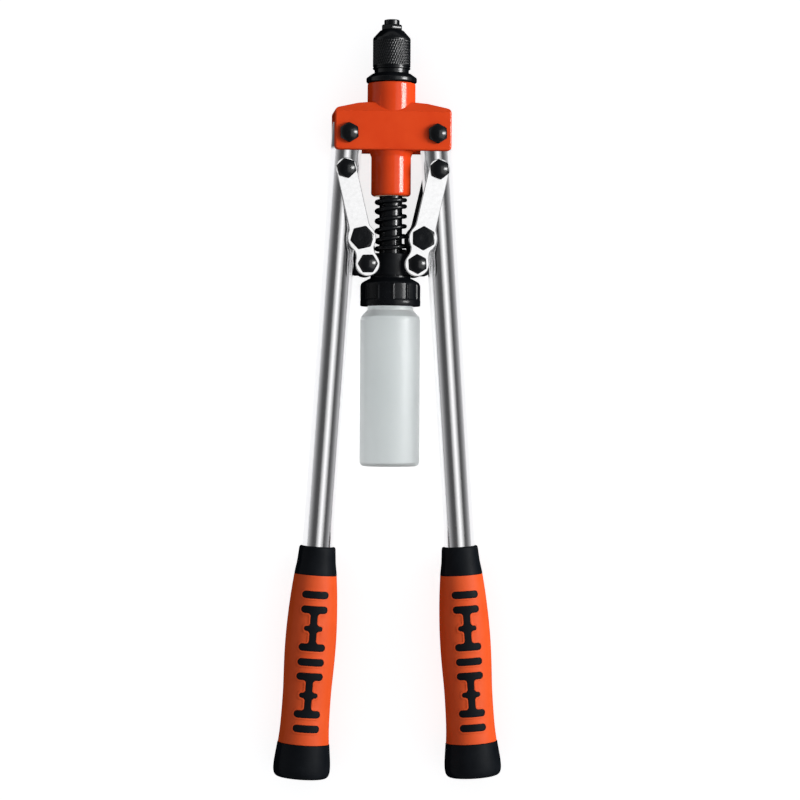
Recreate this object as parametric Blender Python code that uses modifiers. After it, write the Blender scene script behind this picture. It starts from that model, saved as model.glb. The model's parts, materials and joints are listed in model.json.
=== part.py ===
"""Two-handled lever riveter for blind rivets, lying on its back with the nose towards +Y.

Every size below is in millimetres and is turned into metres where a shape is placed. X runs across the
tool, Y along it from the grip ends to the nose, and Z up through its front. Stations along the tool are
measured from the grip ends.
"""

import math

import bmesh
import bpy

MM = 0.001

# Clearances
RUN_GAP = 0.3        # between pieces that move on each other, and between stacked flat faces
FIT_GAP = 0.15       # round a spigot or shank that is held
FIT_END = 0.3        # behind the end of a held spigot

# Handles: tube, insert and grip, measured down the tube from the head pivot
LEAN = math.radians(3.8)       # of each handle from the tool's axis, handles closed
HANDLE_LEN = 364.6             # pivot to the end of the grip
TUBE_R = 8.75
TUBE_WALL = 1.5
TUBE_ABOVE = 6.3               # tube past the pivot
TUBE_END_S = 8.0               # tube's lower end from the grip's end
INSERT_LEN = 33.0
LINK_PIVOT_DOWN = 20.0         # link pivot from the head pivot

# Grip: (radius, distance from the grip's end)
GRIP_END = ((12.3, 0.0), (14.4, 0.7), (15.75, 2.6), (16.1, 5.2), (15.8, 11.0), (14.75, 19.3))
GRIP_CORE_R = 11.6
GRIP_COLLAR = ((12.05, 115.1), (11.0, 121.9), (10.3, 129.9), (9.6, 130.9))
SLEEVE_OUT = ((14.5, 19.6), (13.8, 30.5), (13.65, 48.9), (14.3, 66.9), (14.3, 82.9), (13.6, 97.9), (12.05, 114.8))
SLEEVE_STEPS = 28
PAD_PROUD = 0.25               # of the inlaid pads over the sleeve
PAD_GAP = 0.2                  # round each pad
BAR_W = 14.8
BAR_H = 4.2
BAR_R = 1.8
STEM_W = 4.0
BUMP_W = 10.4
BUMP_H = 3.0
PAD_IN_R = 1.6
BARS_S = (104.1, 66.3, 28.8)   # bar centres from the grip's end
STEMS_S = (85.2, 47.6)         # centres of the stemmed pads
STEM_LEN = 25.4

# Head casting
HEAD_END = 8.0                 # crossbar past each pivot
HEAD_DEEP = 28.0
CHAMFER_HIGH = 5.8             # slope along the top edges, down the front and back
CHAMFER_DEEP = 5.0             # and in from them
BAR_BELOW = 9.4                # crossbar's underside below the pivots
BAR_ABOVE = 14.0               # crossbar's top at its ends, above the pivots
CROWN_ABOVE = 18.0             # crossbar's top beside the neck
CROWN_REACH = 6.0              # crown's bend from the neck's side
CROWN_BEND = 12.0
HEAD_FOOT_ROUND = 2.2
HEAD_TOP_ROUND = 3.0
NECK_R = 13.6
NECK_ABOVE = 29.4              # neck's top face above the pivots
SLEEVE_R = 11.25
SLEEVE_SPACE = 5.0             # between the lower sleeve and a tube, at the pivots
SLEEVE_BELOW = 34.6            # lower sleeve's end below the pivots
SLEEVE_FLARE = 3.5
HEAD_BORE_R = 8.3
POCKET_TOP = 11.4              # top wall's underside above the pivots
POCKET_ROUND = 3.0
PIN_R = 3.0                    # pivot bolts' shanks

# Nose
FLANGE_R = 14.35
FLANGE_H = 5.0
HOUSING_R = 10.7
HOUSING_NECK_R = 9.75
HOUSING_NECK_H = 2.3
HOUSING_H = 17.4               # knurled length
HOUSING_CONE_H = 4.7
HOUSING_CONE_R = 6.7
SPIGOT_R = 9.2                 # housing's spigot in the head
SPIGOT_LEN = 14.0
HOUSING_TOP_WALL = 6.8         # from the cone's top down to the end of the bore
NOSE_AF = 10.5
NOSE_HEX_H = 2.9
NOSE_TIP_R = 4.35
NOSE_TIP_H = 2.9
NOSE_BORE_R = 2.5
NOSE_SCREW_R = 4.1
NOSE_SCREW_LEN = 6.3

# Pull rod, jaw case and jaws
STROKE = 14.5                  # crosshead's travel, handles closed to open
ROD_R = 6.5
ROD_BORE_R = 2.6
ROD_SPIGOT_R = 5.0
CASE_R = 7.6
CASE_LEN = 34.0
CASE_MOUTH_R = 4.0
CASE_CONE_LEN = 14.5
CASE_BORE_R = 6.3
JAW_OUT = 1.5                  # jaws past the case's mouth
JAW_SLACK = 0.6                # between the jaws and the nosepiece, handles open
JAW_LEN = 12.5
JAW_BORE_R = 1.2
JAW_SPLIT = 0.5                # between neighbouring jaws
JAW_FOOT_R = 3.8               # countersink that the pusher's tip seats in
JAW_FOOT_LEN = 2.2
JAW_TRAVEL = 2.4               # back against the jaw spring
JAW_SPRING_LEFT = 1.6          # the spring's height over its solid height, jaws back
PUSHER_R = 5.4
PUSHER_BORE_R = 1.9
PUSHER_LEN = 5.0
PUSHER_TIP_LEN = 1.0
JAW_WIRE_R = 0.55
JAW_COILS = 3

# Guide bush and return spring
BUSH_R = 9.1
BUSH_LEN = 14.0
SPRING_R = 8.0                 # to the middle of the wire
WIRE_R = 1.0
SPRING_COILS = 5
SPRING_CLOSED = 0.9            # turns closed up at each end

# Links and crosshead
LINK_TILT = math.radians(12.95)  # of each link from the tool's axis, handles closed
TIE_TO_END = 14.9              # tie bolt to crosshead bolt
LINK_THICK = 3.0
LINK_TOP_R = 6.5
LINK_STRAP = 5.9               # half width above the tie bolt
LINK_BOSS_R = 8.1
LINK_NECK = 5.4                # half width between the tie bolt and the crosshead bolt
LINK_END_R = 6.8
TIE_R = 2.5                    # tie bolt's shank, which the closed tube comes to rest on
CROSS_PIN_R = 2.5
CROSS_BELOW = 6.0              # crosshead's underside below its bolts
EAR_SPACE = 1.4                # between an ear's top and the tie bolt's shank
HUB_ABOVE = 6.3
HUB_R = 10.8
EAR_IN = 9.7                   # ears' inner sides from the tool's axis
EAR_ROUND = 6.0
EAR_FOOT_ROUND = 2.2
SLOT_UP = 1.9                  # crosshead hole's extra length each way along the tool
SLOT_SIDE = 0.55               # and its extra half width

# Fasteners
HEX_AF = 10.0
HEX_H = 4.0
NUT_H = 4.7
BOLT_OUT = 1.0                 # bolt end past its nut
TIE_AF = 12.0
TIE_H = 3.8
DIMPLE_R = 2.0
DIMPLE_DEEP = 0.7

# Bottle and its ribbed cap
CAP_NECK_R = 11.4
CAP_NECK_H = 1.2
CAP_CONE_H = 2.7
CAP_R = 16.5
CAP_RIM_R = 17.1
CAP_RIM_H = 3.6
CAP_H = 13.3                   # ribbed body and rim
CAP_RIBS = 12
RIB_R = 1.25
RIB_SINK = 0.6                 # rib's middle inside the cap's wall
CAP_TOP_WALL = 2.6
SEAL_H = 1.2
SEAL_HOLE_R = 7.2
BOTTLE_NECK_R = 13.0
BOTTLE_NECK_SHOWS = 2.2
BOTTLE_SHOULDER = 4.6
BOTTLE_R = 17.0
BOTTLE_LEN = 84.0              # body under the shoulder
BOTTLE_FOOT_R = 2.6
BOTTLE_WALL = 1.3

# Places that follow from the sizes
SIN, COS = math.sin(LEAN), math.cos(LEAN)
grip_len = GRIP_COLLAR[-1][1]
pivot_y = max((HANDLE_LEN - s) * COS + r * SIN for r, s in GRIP_END)
neck_top = pivot_y + NECK_ABOVE
sleeve_end = pivot_y - SLEEVE_BELOW
flange_top = neck_top + RUN_GAP + FLANGE_H
housing_low = flange_top + RUN_GAP + HOUSING_NECK_H
cone_low = housing_low + HOUSING_H
cone_top = cone_low + HOUSING_CONE_H
hex_low = cone_top + RUN_GAP
nose_tip = hex_low + NOSE_HEX_H + NOSE_TIP_H
nose_inner = hex_low - NOSE_SCREW_LEN
bore_end = cone_top - HOUSING_TOP_WALL
jaw_tip = nose_inner - JAW_SLACK - STROKE
case_top = jaw_tip - JAW_OUT
case_low = case_top - CASE_LEN
rod_top = case_low - RUN_GAP
jaw_low = jaw_tip - JAW_LEN
pusher_top = jaw_low - RUN_GAP + PUSHER_TIP_LEN
pusher_low = pusher_top - PUSHER_LEN
jaw_spring_solid = (JAW_COILS + 2 * SPRING_CLOSED) * 2 * JAW_WIRE_R
spigot_top = pusher_low - 2 * RUN_GAP - JAW_TRAVEL - jaw_spring_solid - JAW_SPRING_LEFT
tool_len = nose_tip

plate_in = TUBE_R + RUN_GAP
plate_out = plate_in + LINK_THICK
slot_half = TUBE_R + RUN_GAP
cheek_seat = HEAD_DEEP / 2 + RUN_GAP
link_seat = plate_out + RUN_GAP
rest_depth = cheek_seat + NUT_H + BOLT_OUT

pivot_half = SLEEVE_R + SLEEVE_SPACE + TUBE_R
head_half = pivot_half + HEAD_END
link_x = pivot_half + LINK_PIVOT_DOWN * SIN
link_y = pivot_y - LINK_PIVOT_DOWN * COS
tie_down = (TUBE_R + TIE_R + RUN_GAP) / math.sin(LEAN + LINK_TILT)
link_len = tie_down + TIE_TO_END
cross_half = link_x - link_len * math.sin(LINK_TILT)
pin_y = link_y - link_len * math.cos(LINK_TILT)
ear_above = TIE_TO_END * math.cos(LINK_TILT) - TIE_R - EAR_SPACE
cross_low = pin_y - CROSS_BELOW
hub_top = pin_y + HUB_ABOVE
cap_top = cross_low - RUN_GAP
cap_body = cap_top - CAP_NECK_H - CAP_CONE_H
cap_low = cap_body - CAP_H
cap_roof = cap_body - CAP_TOP_WALL
rod_low = cap_roof
seal_top = cap_roof - RUN_GAP
bottle_top = seal_top - SEAL_H - RUN_GAP
shoulder_top = cap_low - BOTTLE_NECK_SHOWS
shoulder_low = shoulder_top - BOTTLE_SHOULDER
bottle_foot = shoulder_low - BOTTLE_LEN

model = bpy.data.collections.new("lever_riveter")
cutters = bpy.data.collections.new("cutters")
materials = {}


def material(name, colour, roughness, metallic):
    made = bpy.data.materials.new(name)
    made.use_nodes = True
    shader = made.node_tree.nodes["Principled BSDF"]
    shader.inputs["Base Color"].default_value = (*colour, 1)
    shader.inputs["Roughness"].default_value = roughness
    shader.inputs["Metallic"].default_value = metallic
    made.diffuse_color = (*colour, 1)
    materials[name] = made


def frame(name, at, parent=None, turn=0.0):
    """An empty on a joint's axis that carries the pieces of one moving body."""
    made = bpy.data.objects.new(name, None)
    made.empty_display_size = 0.01
    made.location = [value * MM for value in at]
    made.rotation_euler = (0, 0, turn)
    made.parent = parent
    model.objects.link(made)
    return made


def place(obj, parent, at=(0, 0, 0), along_y=False, turn=0.0):
    """Shapes are made about their own Z. along_y lays that axis along the frame's Y, and turn spins it."""
    obj.parent = parent
    obj.location = [value * MM for value in at]
    obj.rotation_mode = "XYZ"
    if along_y:
        obj.rotation_euler = (-math.pi / 2, 0, 0)
        if turn:
            obj.rotation_mode = "ZXY"
            obj.rotation_euler = (-math.pi / 2, turn, 0)
    else:
        obj.rotation_euler = (0, 0, turn)
    return obj


def keep(obj, colour):
    """Makes a shape one of the tool's pieces."""
    obj.data.materials.clear()
    obj.data.materials.append(materials[colour])
    model.objects.link(obj)
    return obj


def tool(obj):
    """Makes a shape a cutter or a helper that others are joined to."""
    obj.hide_render = True
    obj.display_type = "WIRE"
    cutters.objects.link(obj)
    return obj


def combine(obj, other, operation="DIFFERENCE"):
    step = obj.modifiers.new(operation.lower(), "BOOLEAN")
    step.operation = operation
    step.solver = "EXACT"
    step.object = other
    return obj


def turned(name, profile, steps=32, closed=False):
    """A profile of (radius, height) that runs down the outside, turned about Z."""
    mesh = bpy.data.meshes.new(name)
    grid = bmesh.new()
    points = [grid.verts.new((r * MM, 0, h * MM)) for r, h in profile]
    ring = points + points[:1] if closed else points
    for a, b in zip(ring, ring[1:]):
        grid.edges.new((a, b))
    grid.to_mesh(mesh)
    grid.free()
    obj = bpy.data.objects.new(name, mesh)
    screw = obj.modifiers.new("turn", "SCREW")
    screw.axis = "Z"
    screw.angle = 2 * math.pi
    screw.steps = screw.render_steps = steps
    screw.use_merge_vertices = True
    screw.merge_threshold = 1e-6
    screw.use_smooth_shade = True
    return obj


def rod(name, radius, low, high, steps=24):
    return turned(name, [(0, high), (radius, high), (radius, low), (0, low)], steps)


def tube(name, outer, bore, steps=32):
    """A hollow turned piece: its outside from the top down, then its bore from the top down."""
    return turned(name, list(outer) + list(reversed(bore)), steps, closed=True)


def rounded(corners, segments=3):
    """The outline through (x, y, radius) corners, each rounded by an arc."""
    points = []
    count = len(corners)
    for i, (x, y, radius) in enumerate(corners):
        before, after = corners[i - 1], corners[(i + 1) % count]
        ax, ay = before[0] - x, before[1] - y
        bx, by = after[0] - x, after[1] - y
        la, lb = math.hypot(ax, ay), math.hypot(bx, by)
        ax, ay, bx, by = ax / la, ay / la, bx / lb, by / lb
        half = math.acos(max(-1.0, min(1.0, ax * bx + ay * by))) / 2
        if radius <= 0 or abs(math.tan(half)) < 1e-6 or half > math.radians(89):
            points.append((x, y))
            continue
        reach = min(radius / math.tan(half), 0.499 * la, 0.499 * lb)
        size = reach * math.tan(half)
        out = math.hypot(ax + bx, ay + by)
        cx = x + (ax + bx) / out * size / math.sin(half)
        cy = y + (ay + by) / out * size / math.sin(half)
        first = math.atan2(y + ay * reach - cy, x + ax * reach - cx)
        last = math.atan2(y + by * reach - cy, x + bx * reach - cx)
        sweep = (last - first + math.pi) % (2 * math.pi) - math.pi
        for k in range(segments + 1):
            angle = first + sweep * k / segments
            points.append((cx + size * math.cos(angle), cy + size * math.sin(angle)))
    return points


def circle(x, y, radius, count=12):
    return [(x + radius * math.cos(2 * math.pi * k / count), y + radius * math.sin(2 * math.pi * k / count))
            for k in range(count)]


def slab(name, outlines, low, high):
    """A flat piece in XY between two heights: the first outline is its edge, the others are holes."""
    curve = bpy.data.curves.new(name, "CURVE")
    curve.dimensions = "2D"
    curve.fill_mode = "BOTH"
    curve.extrude = (high - low) / 2 * MM
    for outline in outlines:
        spline = curve.splines.new("POLY")
        spline.points.add(len(outline) - 1)
        spline.use_cyclic_u = True
        for point, (x, y) in zip(spline.points, outline):
            point.co = (x * MM, y * MM, 0, 1)
    drawn = bpy.data.objects.new(name + "_outline", curve)
    bpy.context.scene.collection.objects.link(drawn)
    graph = bpy.context.evaluated_depsgraph_get()
    mesh = bpy.data.meshes.new_from_object(drawn.evaluated_get(graph))
    bpy.data.objects.remove(drawn)
    bpy.data.curves.remove(curve)
    grid = bmesh.new()
    grid.from_mesh(mesh)
    bmesh.ops.remove_doubles(grid, verts=grid.verts, dist=1e-7)
    bmesh.ops.translate(grid, verts=grid.verts, vec=(0, 0, (low + high) / 2 * MM))
    bmesh.ops.recalc_face_normals(grid, faces=grid.faces)
    grid.to_mesh(mesh)
    grid.free()
    mesh.name = name
    return bpy.data.objects.new(name, mesh)


def hexagon(across, turn=0.0):
    size = across / math.sqrt(3)
    return [(size * math.cos(math.pi / 3 * k + turn), size * math.sin(math.pi / 3 * k + turn)) for k in range(6)]


def coil(name, radius, wire, low, high, turns, dead, steps=12):
    """A compression spring on Z between two flat ends, with its end turns closed up."""
    low, high = low + wire, high - wire
    close = dead * 2 * wire * 1.08
    count = int(round((turns + 2 * dead) * steps))
    points = []
    for k in range(count + 1):
        turn = k / steps
        if turn < dead:
            height = low + close * turn / dead
        elif turn > turns + dead:
            height = high - close * (turns + 2 * dead - turn) / dead
        else:
            height = low + close + (high - low - 2 * close) * (turn - dead) / turns
        angle = 2 * math.pi * turn
        points.append((radius * math.cos(angle), radius * math.sin(angle), height))
    curve = bpy.data.curves.new(name, "CURVE")
    curve.dimensions = "3D"
    curve.bevel_depth = wire * MM
    curve.bevel_resolution = 2
    curve.use_fill_caps = True
    spline = curve.splines.new("POLY")
    spline.points.add(len(points) - 1)
    for point, (x, y, z) in zip(spline.points, points):
        point.co = (x * MM, y * MM, z * MM, 1)
    return bpy.data.objects.new(name, curve)


def bolt(name, parent, at, seat, tail, radius, across, height, colour, turn=0.0, dimple=False):
    """A hex bolt along the frame's Z: its head stands on seat and its shank ends at tail."""
    x, y = at
    dome = across / math.sqrt(3)
    flat = across * (0.40 if dimple else 0.28)
    head = keep(place(slab(name, [hexagon(across, turn)], seat, seat + height), parent, (x, y, 0)), colour)
    cap = [(0, seat + height), (flat, seat + height), (across * 0.46, seat + height * 0.82),
           (dome * 1.05, seat + height * 0.55), (dome * 1.05, seat - 1), (0, seat - 1)]
    combine(head, tool(place(turned(name + "_crown", cap, 12), parent, (x, y, 0), turn=turn)), "INTERSECT")
    shank = [(0, seat + height / 2), (radius, seat + height / 2), (radius, tail + 0.4), (radius - 0.4, tail), (0, tail)]
    combine(head, tool(place(turned(name + "_shank", shank, 12), parent, (x, y, 0))), "UNION")
    if dimple:
        hollow = [(0, seat + height + 1), (DIMPLE_R, seat + height + 1), (DIMPLE_R, seat + height),
                  (DIMPLE_R * 0.5, seat + height - DIMPLE_DEEP), (0, seat + height - DIMPLE_DEEP)]
        combine(head, tool(place(turned(name + "_dimple", hollow, 12), parent, (x, y, 0))))
    return head


def nut(name, parent, at, seat, radius, across, colour, turn=0.0):
    """A hex nut under the frame's -Z side, with its bearing face at -seat."""
    x, y = at
    made = slab(name, [hexagon(across, turn), circle(0, 0, radius + FIT_GAP, 12)], -seat - NUT_H, -seat)
    keep(place(made, parent, (x, y, 0)), colour)
    wide = across / math.sqrt(3) * 1.05
    crown = [(0, 1 - seat), (wide, 1 - seat), (wide, -seat - NUT_H * 0.55), (across * 0.46, -seat - NUT_H * 0.9),
             (across * 0.42, -seat - NUT_H), (0, -seat - NUT_H)]
    combine(made, tool(place(turned(name + "_crown", crown, 12), parent, (x, y, 0), turn=turn)), "INTERSECT")
    return made


def pad_outlines(shrink):
    """Outlines of the inlaid pads in the handle's frame, drawn in by shrink."""
    drawn = []
    half, high, outer_r, inner_r = BAR_W / 2 - shrink, BAR_H / 2 - shrink, BAR_R - shrink, PAD_IN_R + shrink
    for s in BARS_S:
        y = s - HANDLE_LEN
        drawn.append(rounded([(half, y + high, outer_r), (half, y - high, outer_r), (-half, y - high, outer_r),
                              (-half, y + high, outer_r)], 2))
    for s in STEMS_S:
        y = s - HANDLE_LEN
        end = STEM_LEN / 2 - shrink
        inner = STEM_LEN / 2 - BAR_H + shrink
        stem, bump, rise = STEM_W / 2 - shrink, BUMP_W / 2 - shrink, BUMP_H / 2 - shrink
        side = [(half, end, outer_r), (half, inner, outer_r), (stem, inner, inner_r), (stem, rise, inner_r),
                (bump, rise, outer_r), (bump, -rise, outer_r), (stem, -rise, inner_r), (stem, -inner, inner_r),
                (half, -inner, outer_r), (half, -end, outer_r)]
        ring = side + [(-x, dy, r) for x, dy, r in reversed(side)]
        drawn.append(rounded([(x, y + dy, r) for x, dy, r in ring], 2))
    return drawn


def link_outline():
    """Half widths of the two bosses, the end eyes and the straps between them, run together smoothly."""
    def eye(y, middle, radius):
        return math.sqrt(max(radius * radius - (y - middle) ** 2, 0.0))

    def blend(a, b, soft=0.9):
        return (a + b + math.sqrt((a - b) ** 2 + soft * soft)) / 2 - soft * 0.12

    def half(y):
        strap = LINK_STRAP if y > -tie_down else LINK_NECK
        wide = blend(strap, eye(y, -tie_down, LINK_BOSS_R))
        return max(blend(wide, eye(y, -link_len, LINK_END_R)), eye(y, 0, LINK_TOP_R))

    stations = [-3 - 0.0, -8, -14, -tie_down + 12, -tie_down + 9, -tie_down + 7, -tie_down + 5, -tie_down + 2.5,
                -tie_down, -tie_down - 2.5, -tie_down - 5, -tie_down - 7, -tie_down - 8.5]
    stations = [y for y in stations if y > -link_len + 4]
    right = [(half(y), y) for y in stations]
    top = [(LINK_TOP_R * math.cos(a), LINK_TOP_R * math.sin(a))
           for a in (math.radians(180 - 190 * k / 12) for k in range(13))]
    low = [(LINK_END_R * math.cos(a), LINK_END_R * math.sin(a) - link_len)
           for a in (math.radians(20 - 220 * k / 12) for k in range(13))]
    return top + right + low + [(-x, y) for x, y in reversed(right)]


material("orange_paint", (0.62, 0.062, 0.018), 0.32, 0.0)
material("orange_grip", (0.79, 0.105, 0.028), 0.62, 0.0)
material("black_oxide", (0.012, 0.013, 0.015), 0.34, 0.7)
material("black_plastic", (0.011, 0.012, 0.014), 0.42, 0.0)
material("black_rubber", (0.010, 0.011, 0.012), 0.70, 0.0)
material("chrome_tube", (0.80, 0.80, 0.81), 0.10, 1.0)
material("plated_steel", (0.86, 0.86, 0.87), 0.22, 1.0)
material("bright_steel", (0.66, 0.66, 0.66), 0.26, 1.0)
material("bronze", (0.46, 0.27, 0.11), 0.38, 1.0)
material("clear_plastic", (0.72, 0.77, 0.76), 0.45, 0.0)
material("seal_rubber", (0.05, 0.05, 0.05), 0.8, 0.0)

for old in list(bpy.data.objects):
    bpy.data.objects.remove(old, do_unlink=True)
bpy.context.scene.collection.children.link(model)
bpy.context.scene.collection.children.link(cutters)

# World origin: under the middle of the tool, on the surface that it lies on
body = frame("head_body", (0, -tool_len / 2, rest_depth))

# Head casting: a front outline and an end outline meet in the crossbar, and the neck and sleeve are turned
low, high, crown = pivot_y - BAR_BELOW, pivot_y + BAR_ABOVE, pivot_y + CROWN_ABOVE
bend, bend_y = NECK_R + CROWN_REACH, crown - 0.2 * (crown - high)
front = rounded([(-head_half, low, HEAD_FOOT_ROUND), (head_half, low, HEAD_FOOT_ROUND), (head_half, high, HEAD_TOP_ROUND),
                 (bend, bend_y, CROWN_BEND), (NECK_R - 2, crown, 0), (-NECK_R + 2, crown, 0),
                 (-bend, bend_y, CROWN_BEND), (-head_half, high, HEAD_TOP_ROUND)], 4)
head = keep(place(slab("head_casting", [front], -HEAD_DEEP / 2, HEAD_DEEP / 2), body), "orange_paint")
deep = HEAD_DEEP / 2
end = rounded([(-deep, low - 1, 0), (deep, low - 1, 0), (deep, crown - CHAMFER_HIGH, 2.2),
               (deep - CHAMFER_DEEP, crown + 0.2, 2.2), (-deep + CHAMFER_DEEP, crown + 0.2, 2.2),
               (-deep, crown - CHAMFER_HIGH, 2.2)], 3)
side = tool(place(slab("end_outline", [end], -head_half - 2, head_half + 2), body))
side.rotation_mode = "ZXY"
side.rotation_euler = (0, math.pi / 2, 0)
combine(head, side, "INTERSECT")
edge = head.modifiers.new("edges", "BEVEL")
edge.width = 0.9 * MM
edge.segments = 1
edge.limit_method = "ANGLE"
edge.angle_limit = math.radians(50)
neck = [(0, neck_top), (NECK_R - 0.8, neck_top), (NECK_R, neck_top - 0.8), (NECK_R, low + 0.6), (0, low + 0.6)]
combine(head, tool(place(turned("neck", neck, 32), body, along_y=True)), "UNION")
lower = [(0, low + 3), (SLEEVE_R + 1.2, low + 3), (SLEEVE_R + 1.2, low), (SLEEVE_R, low - SLEEVE_FLARE),
         (SLEEVE_R, sleeve_end + 1.7), (SLEEVE_R - 0.5, sleeve_end + 0.5), (SLEEVE_R - 1.5, sleeve_end),
         (0, sleeve_end)]
combine(head, tool(place(turned("lower_sleeve", lower, 32), body, along_y=True)), "UNION")
corner = math.hypot(TUBE_R, TUBE_ABOVE)
pocket_in = pivot_half - corner - RUN_GAP
for sign in (1, -1):
    hollow = rounded([(sign * pocket_in, low - 3, 0), (sign * (head_half + 5), low - 3, 0),
                      (sign * (head_half + 5), pivot_y + POCKET_TOP, 0),
                      (sign * pocket_in, pivot_y + POCKET_TOP, POCKET_ROUND)])
    combine(head, tool(place(slab("tube_pocket", [hollow], -slot_half, slot_half), body)))
    cross = rod("pivot_hole", PIN_R + FIT_GAP, -HEAD_DEEP, HEAD_DEEP, 12)
    combine(head, tool(place(cross, body, (sign * pivot_half, pivot_y, 0))))
inside = [(0, neck_top + 2), (SPIGOT_R + FIT_GAP, neck_top + 2), (SPIGOT_R + FIT_GAP, neck_top - SPIGOT_LEN - FIT_END),
          (HEAD_BORE_R, neck_top - SPIGOT_LEN - FIT_END), (HEAD_BORE_R, sleeve_end + BUSH_LEN + FIT_END),
          (BUSH_R + FIT_GAP, sleeve_end + BUSH_LEN + FIT_END), (BUSH_R + FIT_GAP, sleeve_end - 2), (0, sleeve_end - 2)]
combine(head, tool(place(turned("head_bore", inside, 32), body, along_y=True)))

# Nose: flange, knurled housing and nosepiece
flange = tube("nose_flange",
              [(FLANGE_R - 0.7, flange_top), (FLANGE_R, flange_top - 0.7), (FLANGE_R, neck_top + RUN_GAP + 0.7),
               (FLANGE_R - 0.7, neck_top + RUN_GAP)],
              [(SPIGOT_R + FIT_GAP, flange_top), (SPIGOT_R + FIT_GAP, neck_top + RUN_GAP)])
keep(place(flange, body, along_y=True), "black_oxide")
screw_bore = NOSE_SCREW_R + FIT_GAP
housing = tube("nose_housing",
               [(HOUSING_CONE_R, cone_top), (HOUSING_R - 0.3, cone_low + 0.3), (HOUSING_R, cone_low - 0.3),
                (HOUSING_R, housing_low + 0.5), (HOUSING_R - 0.5, housing_low), (HOUSING_NECK_R, housing_low),
                (HOUSING_NECK_R, flange_top + RUN_GAP), (SPIGOT_R, flange_top + RUN_GAP),
                (SPIGOT_R, neck_top - SPIGOT_LEN)],
               [(screw_bore, cone_top), (screw_bore, bore_end), (HEAD_BORE_R, bore_end),
                (HEAD_BORE_R, neck_top - SPIGOT_LEN)], 32)
keep(place(housing, body, along_y=True), "black_oxide")
step = hex_low + NOSE_HEX_H
nose = keep(place(slab("nosepiece", [hexagon(NOSE_AF, math.pi / 6)], hex_low, step), body, along_y=True), "black_oxide")
crown_cut = [(0, step), (NOSE_AF * 0.5, step), (NOSE_AF / math.sqrt(3) * 1.01, step - 0.9),
             (NOSE_AF / math.sqrt(3) * 1.01, hex_low - 1), (0, hex_low - 1)]
combine(nose, tool(place(turned("nose_crown", crown_cut, 12), body, along_y=True, turn=math.pi / 6)), "INTERSECT")
stem = [(0, nose_tip), (NOSE_TIP_R - 0.5, nose_tip), (NOSE_TIP_R, nose_tip - 0.5), (NOSE_TIP_R, hex_low + 1),
        (NOSE_SCREW_R, hex_low + 1), (NOSE_SCREW_R, nose_inner), (0, nose_inner)]
combine(nose, tool(place(turned("nose_stem", stem, 20), body, along_y=True)), "UNION")
combine(nose, tool(place(rod("nose_bore", NOSE_BORE_R, nose_inner - 1, nose_tip + 1, 20), body, along_y=True)))

# Guide bush and return spring
bush = tube("guide_bush", [(BUSH_R, sleeve_end + BUSH_LEN), (BUSH_R, sleeve_end)],
            [(ROD_R + RUN_GAP, sleeve_end + BUSH_LEN), (ROD_R + RUN_GAP, sleeve_end)], 24)
keep(place(bush, body, along_y=True), "bronze")
spring = coil("return_spring", SPRING_R, WIRE_R, hub_top + RUN_GAP, sleeve_end - RUN_GAP, SPRING_COILS,
              SPRING_CLOSED, 12)
keep(place(spring, body, along_y=True), "black_oxide")

# Crosshead, which rises by the stroke as the handles open
slider = frame("crosshead_body", (0, pin_y, 0), body)
lift = -pin_y


def tube_side(y):
    """X of the closed tube's inner side at a station."""
    return pivot_half + (pivot_y - y) * math.tan(LEAN) - TUBE_R / COS


ear_top = pin_y + ear_above
ear_half = TUBE_R - RUN_GAP
outer_low, outer_top = tube_side(cross_low) - RUN_GAP, tube_side(ear_top) - RUN_GAP
yoke = [(-outer_low, cross_low, EAR_FOOT_ROUND), (outer_low, cross_low, EAR_FOOT_ROUND),
        (outer_top, ear_top, EAR_ROUND), (EAR_IN, ear_top, 1.0), (EAR_IN, hub_top, 0.4), (-EAR_IN, hub_top, 0.4),
        (-EAR_IN, ear_top, 1.0), (-outer_top, ear_top, EAR_ROUND)]
outline = [(x, y + lift) for x, y in rounded(yoke, 5)]
slots = []
wide = CROSS_PIN_R + RUN_GAP + SLOT_SIDE
for sign in (1, -1):
    x = sign * cross_half
    slots.append(rounded([(x - wide, wide + SLOT_UP, wide), (x + wide, wide + SLOT_UP, wide),
                          (x + wide, -wide - SLOT_UP, wide), (x - wide, -wide - SLOT_UP, wide)], 6))
crosshead = keep(place(slab("crosshead", [outline] + slots, -ear_half, ear_half), slider), "black_oxide")
hub = [(0, hub_top), (HUB_R - 0.4, hub_top), (HUB_R, hub_top - 0.4), (HUB_R, cross_low), (0, cross_low)]
combine(crosshead, tool(place(turned("hub", hub, 32), slider, (0, lift, 0), along_y=True)), "UNION")
bore = rod("hub_bore", ROD_R + FIT_GAP, cross_low - 2, hub_top + 2, 24)
combine(crosshead, tool(place(bore, slider, (0, lift, 0), along_y=True)))

pull = tube("pull_rod", [(ROD_SPIGOT_R, spigot_top), (ROD_SPIGOT_R, rod_top), (ROD_R, rod_top), (ROD_R, rod_low)],
            [(ROD_BORE_R, spigot_top), (ROD_BORE_R, rod_low)], 24)
keep(place(pull, slider, (0, lift, 0), along_y=True), "black_oxide")
screw_end = spigot_top + FIT_END
cone_foot = case_top - CASE_CONE_LEN
case = tube("jaw_case", [(CASE_R - 1.4, case_top), (CASE_R, case_top - 1.6), (CASE_R, case_low)],
            [(CASE_MOUTH_R, case_top), (CASE_BORE_R, cone_foot), (CASE_BORE_R, screw_end),
             (ROD_SPIGOT_R + FIT_GAP, screw_end), (ROD_SPIGOT_R + FIT_GAP, case_low)], 32)
keep(place(case, slider, (0, lift, 0), along_y=True), "bright_steel")

# Jaws and the pusher behind them, which slide back in the case
jaw_body = frame("jaw_body", (0, 0, 0), slider)
taper = (CASE_BORE_R - CASE_MOUTH_R) / CASE_CONE_LEN


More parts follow.
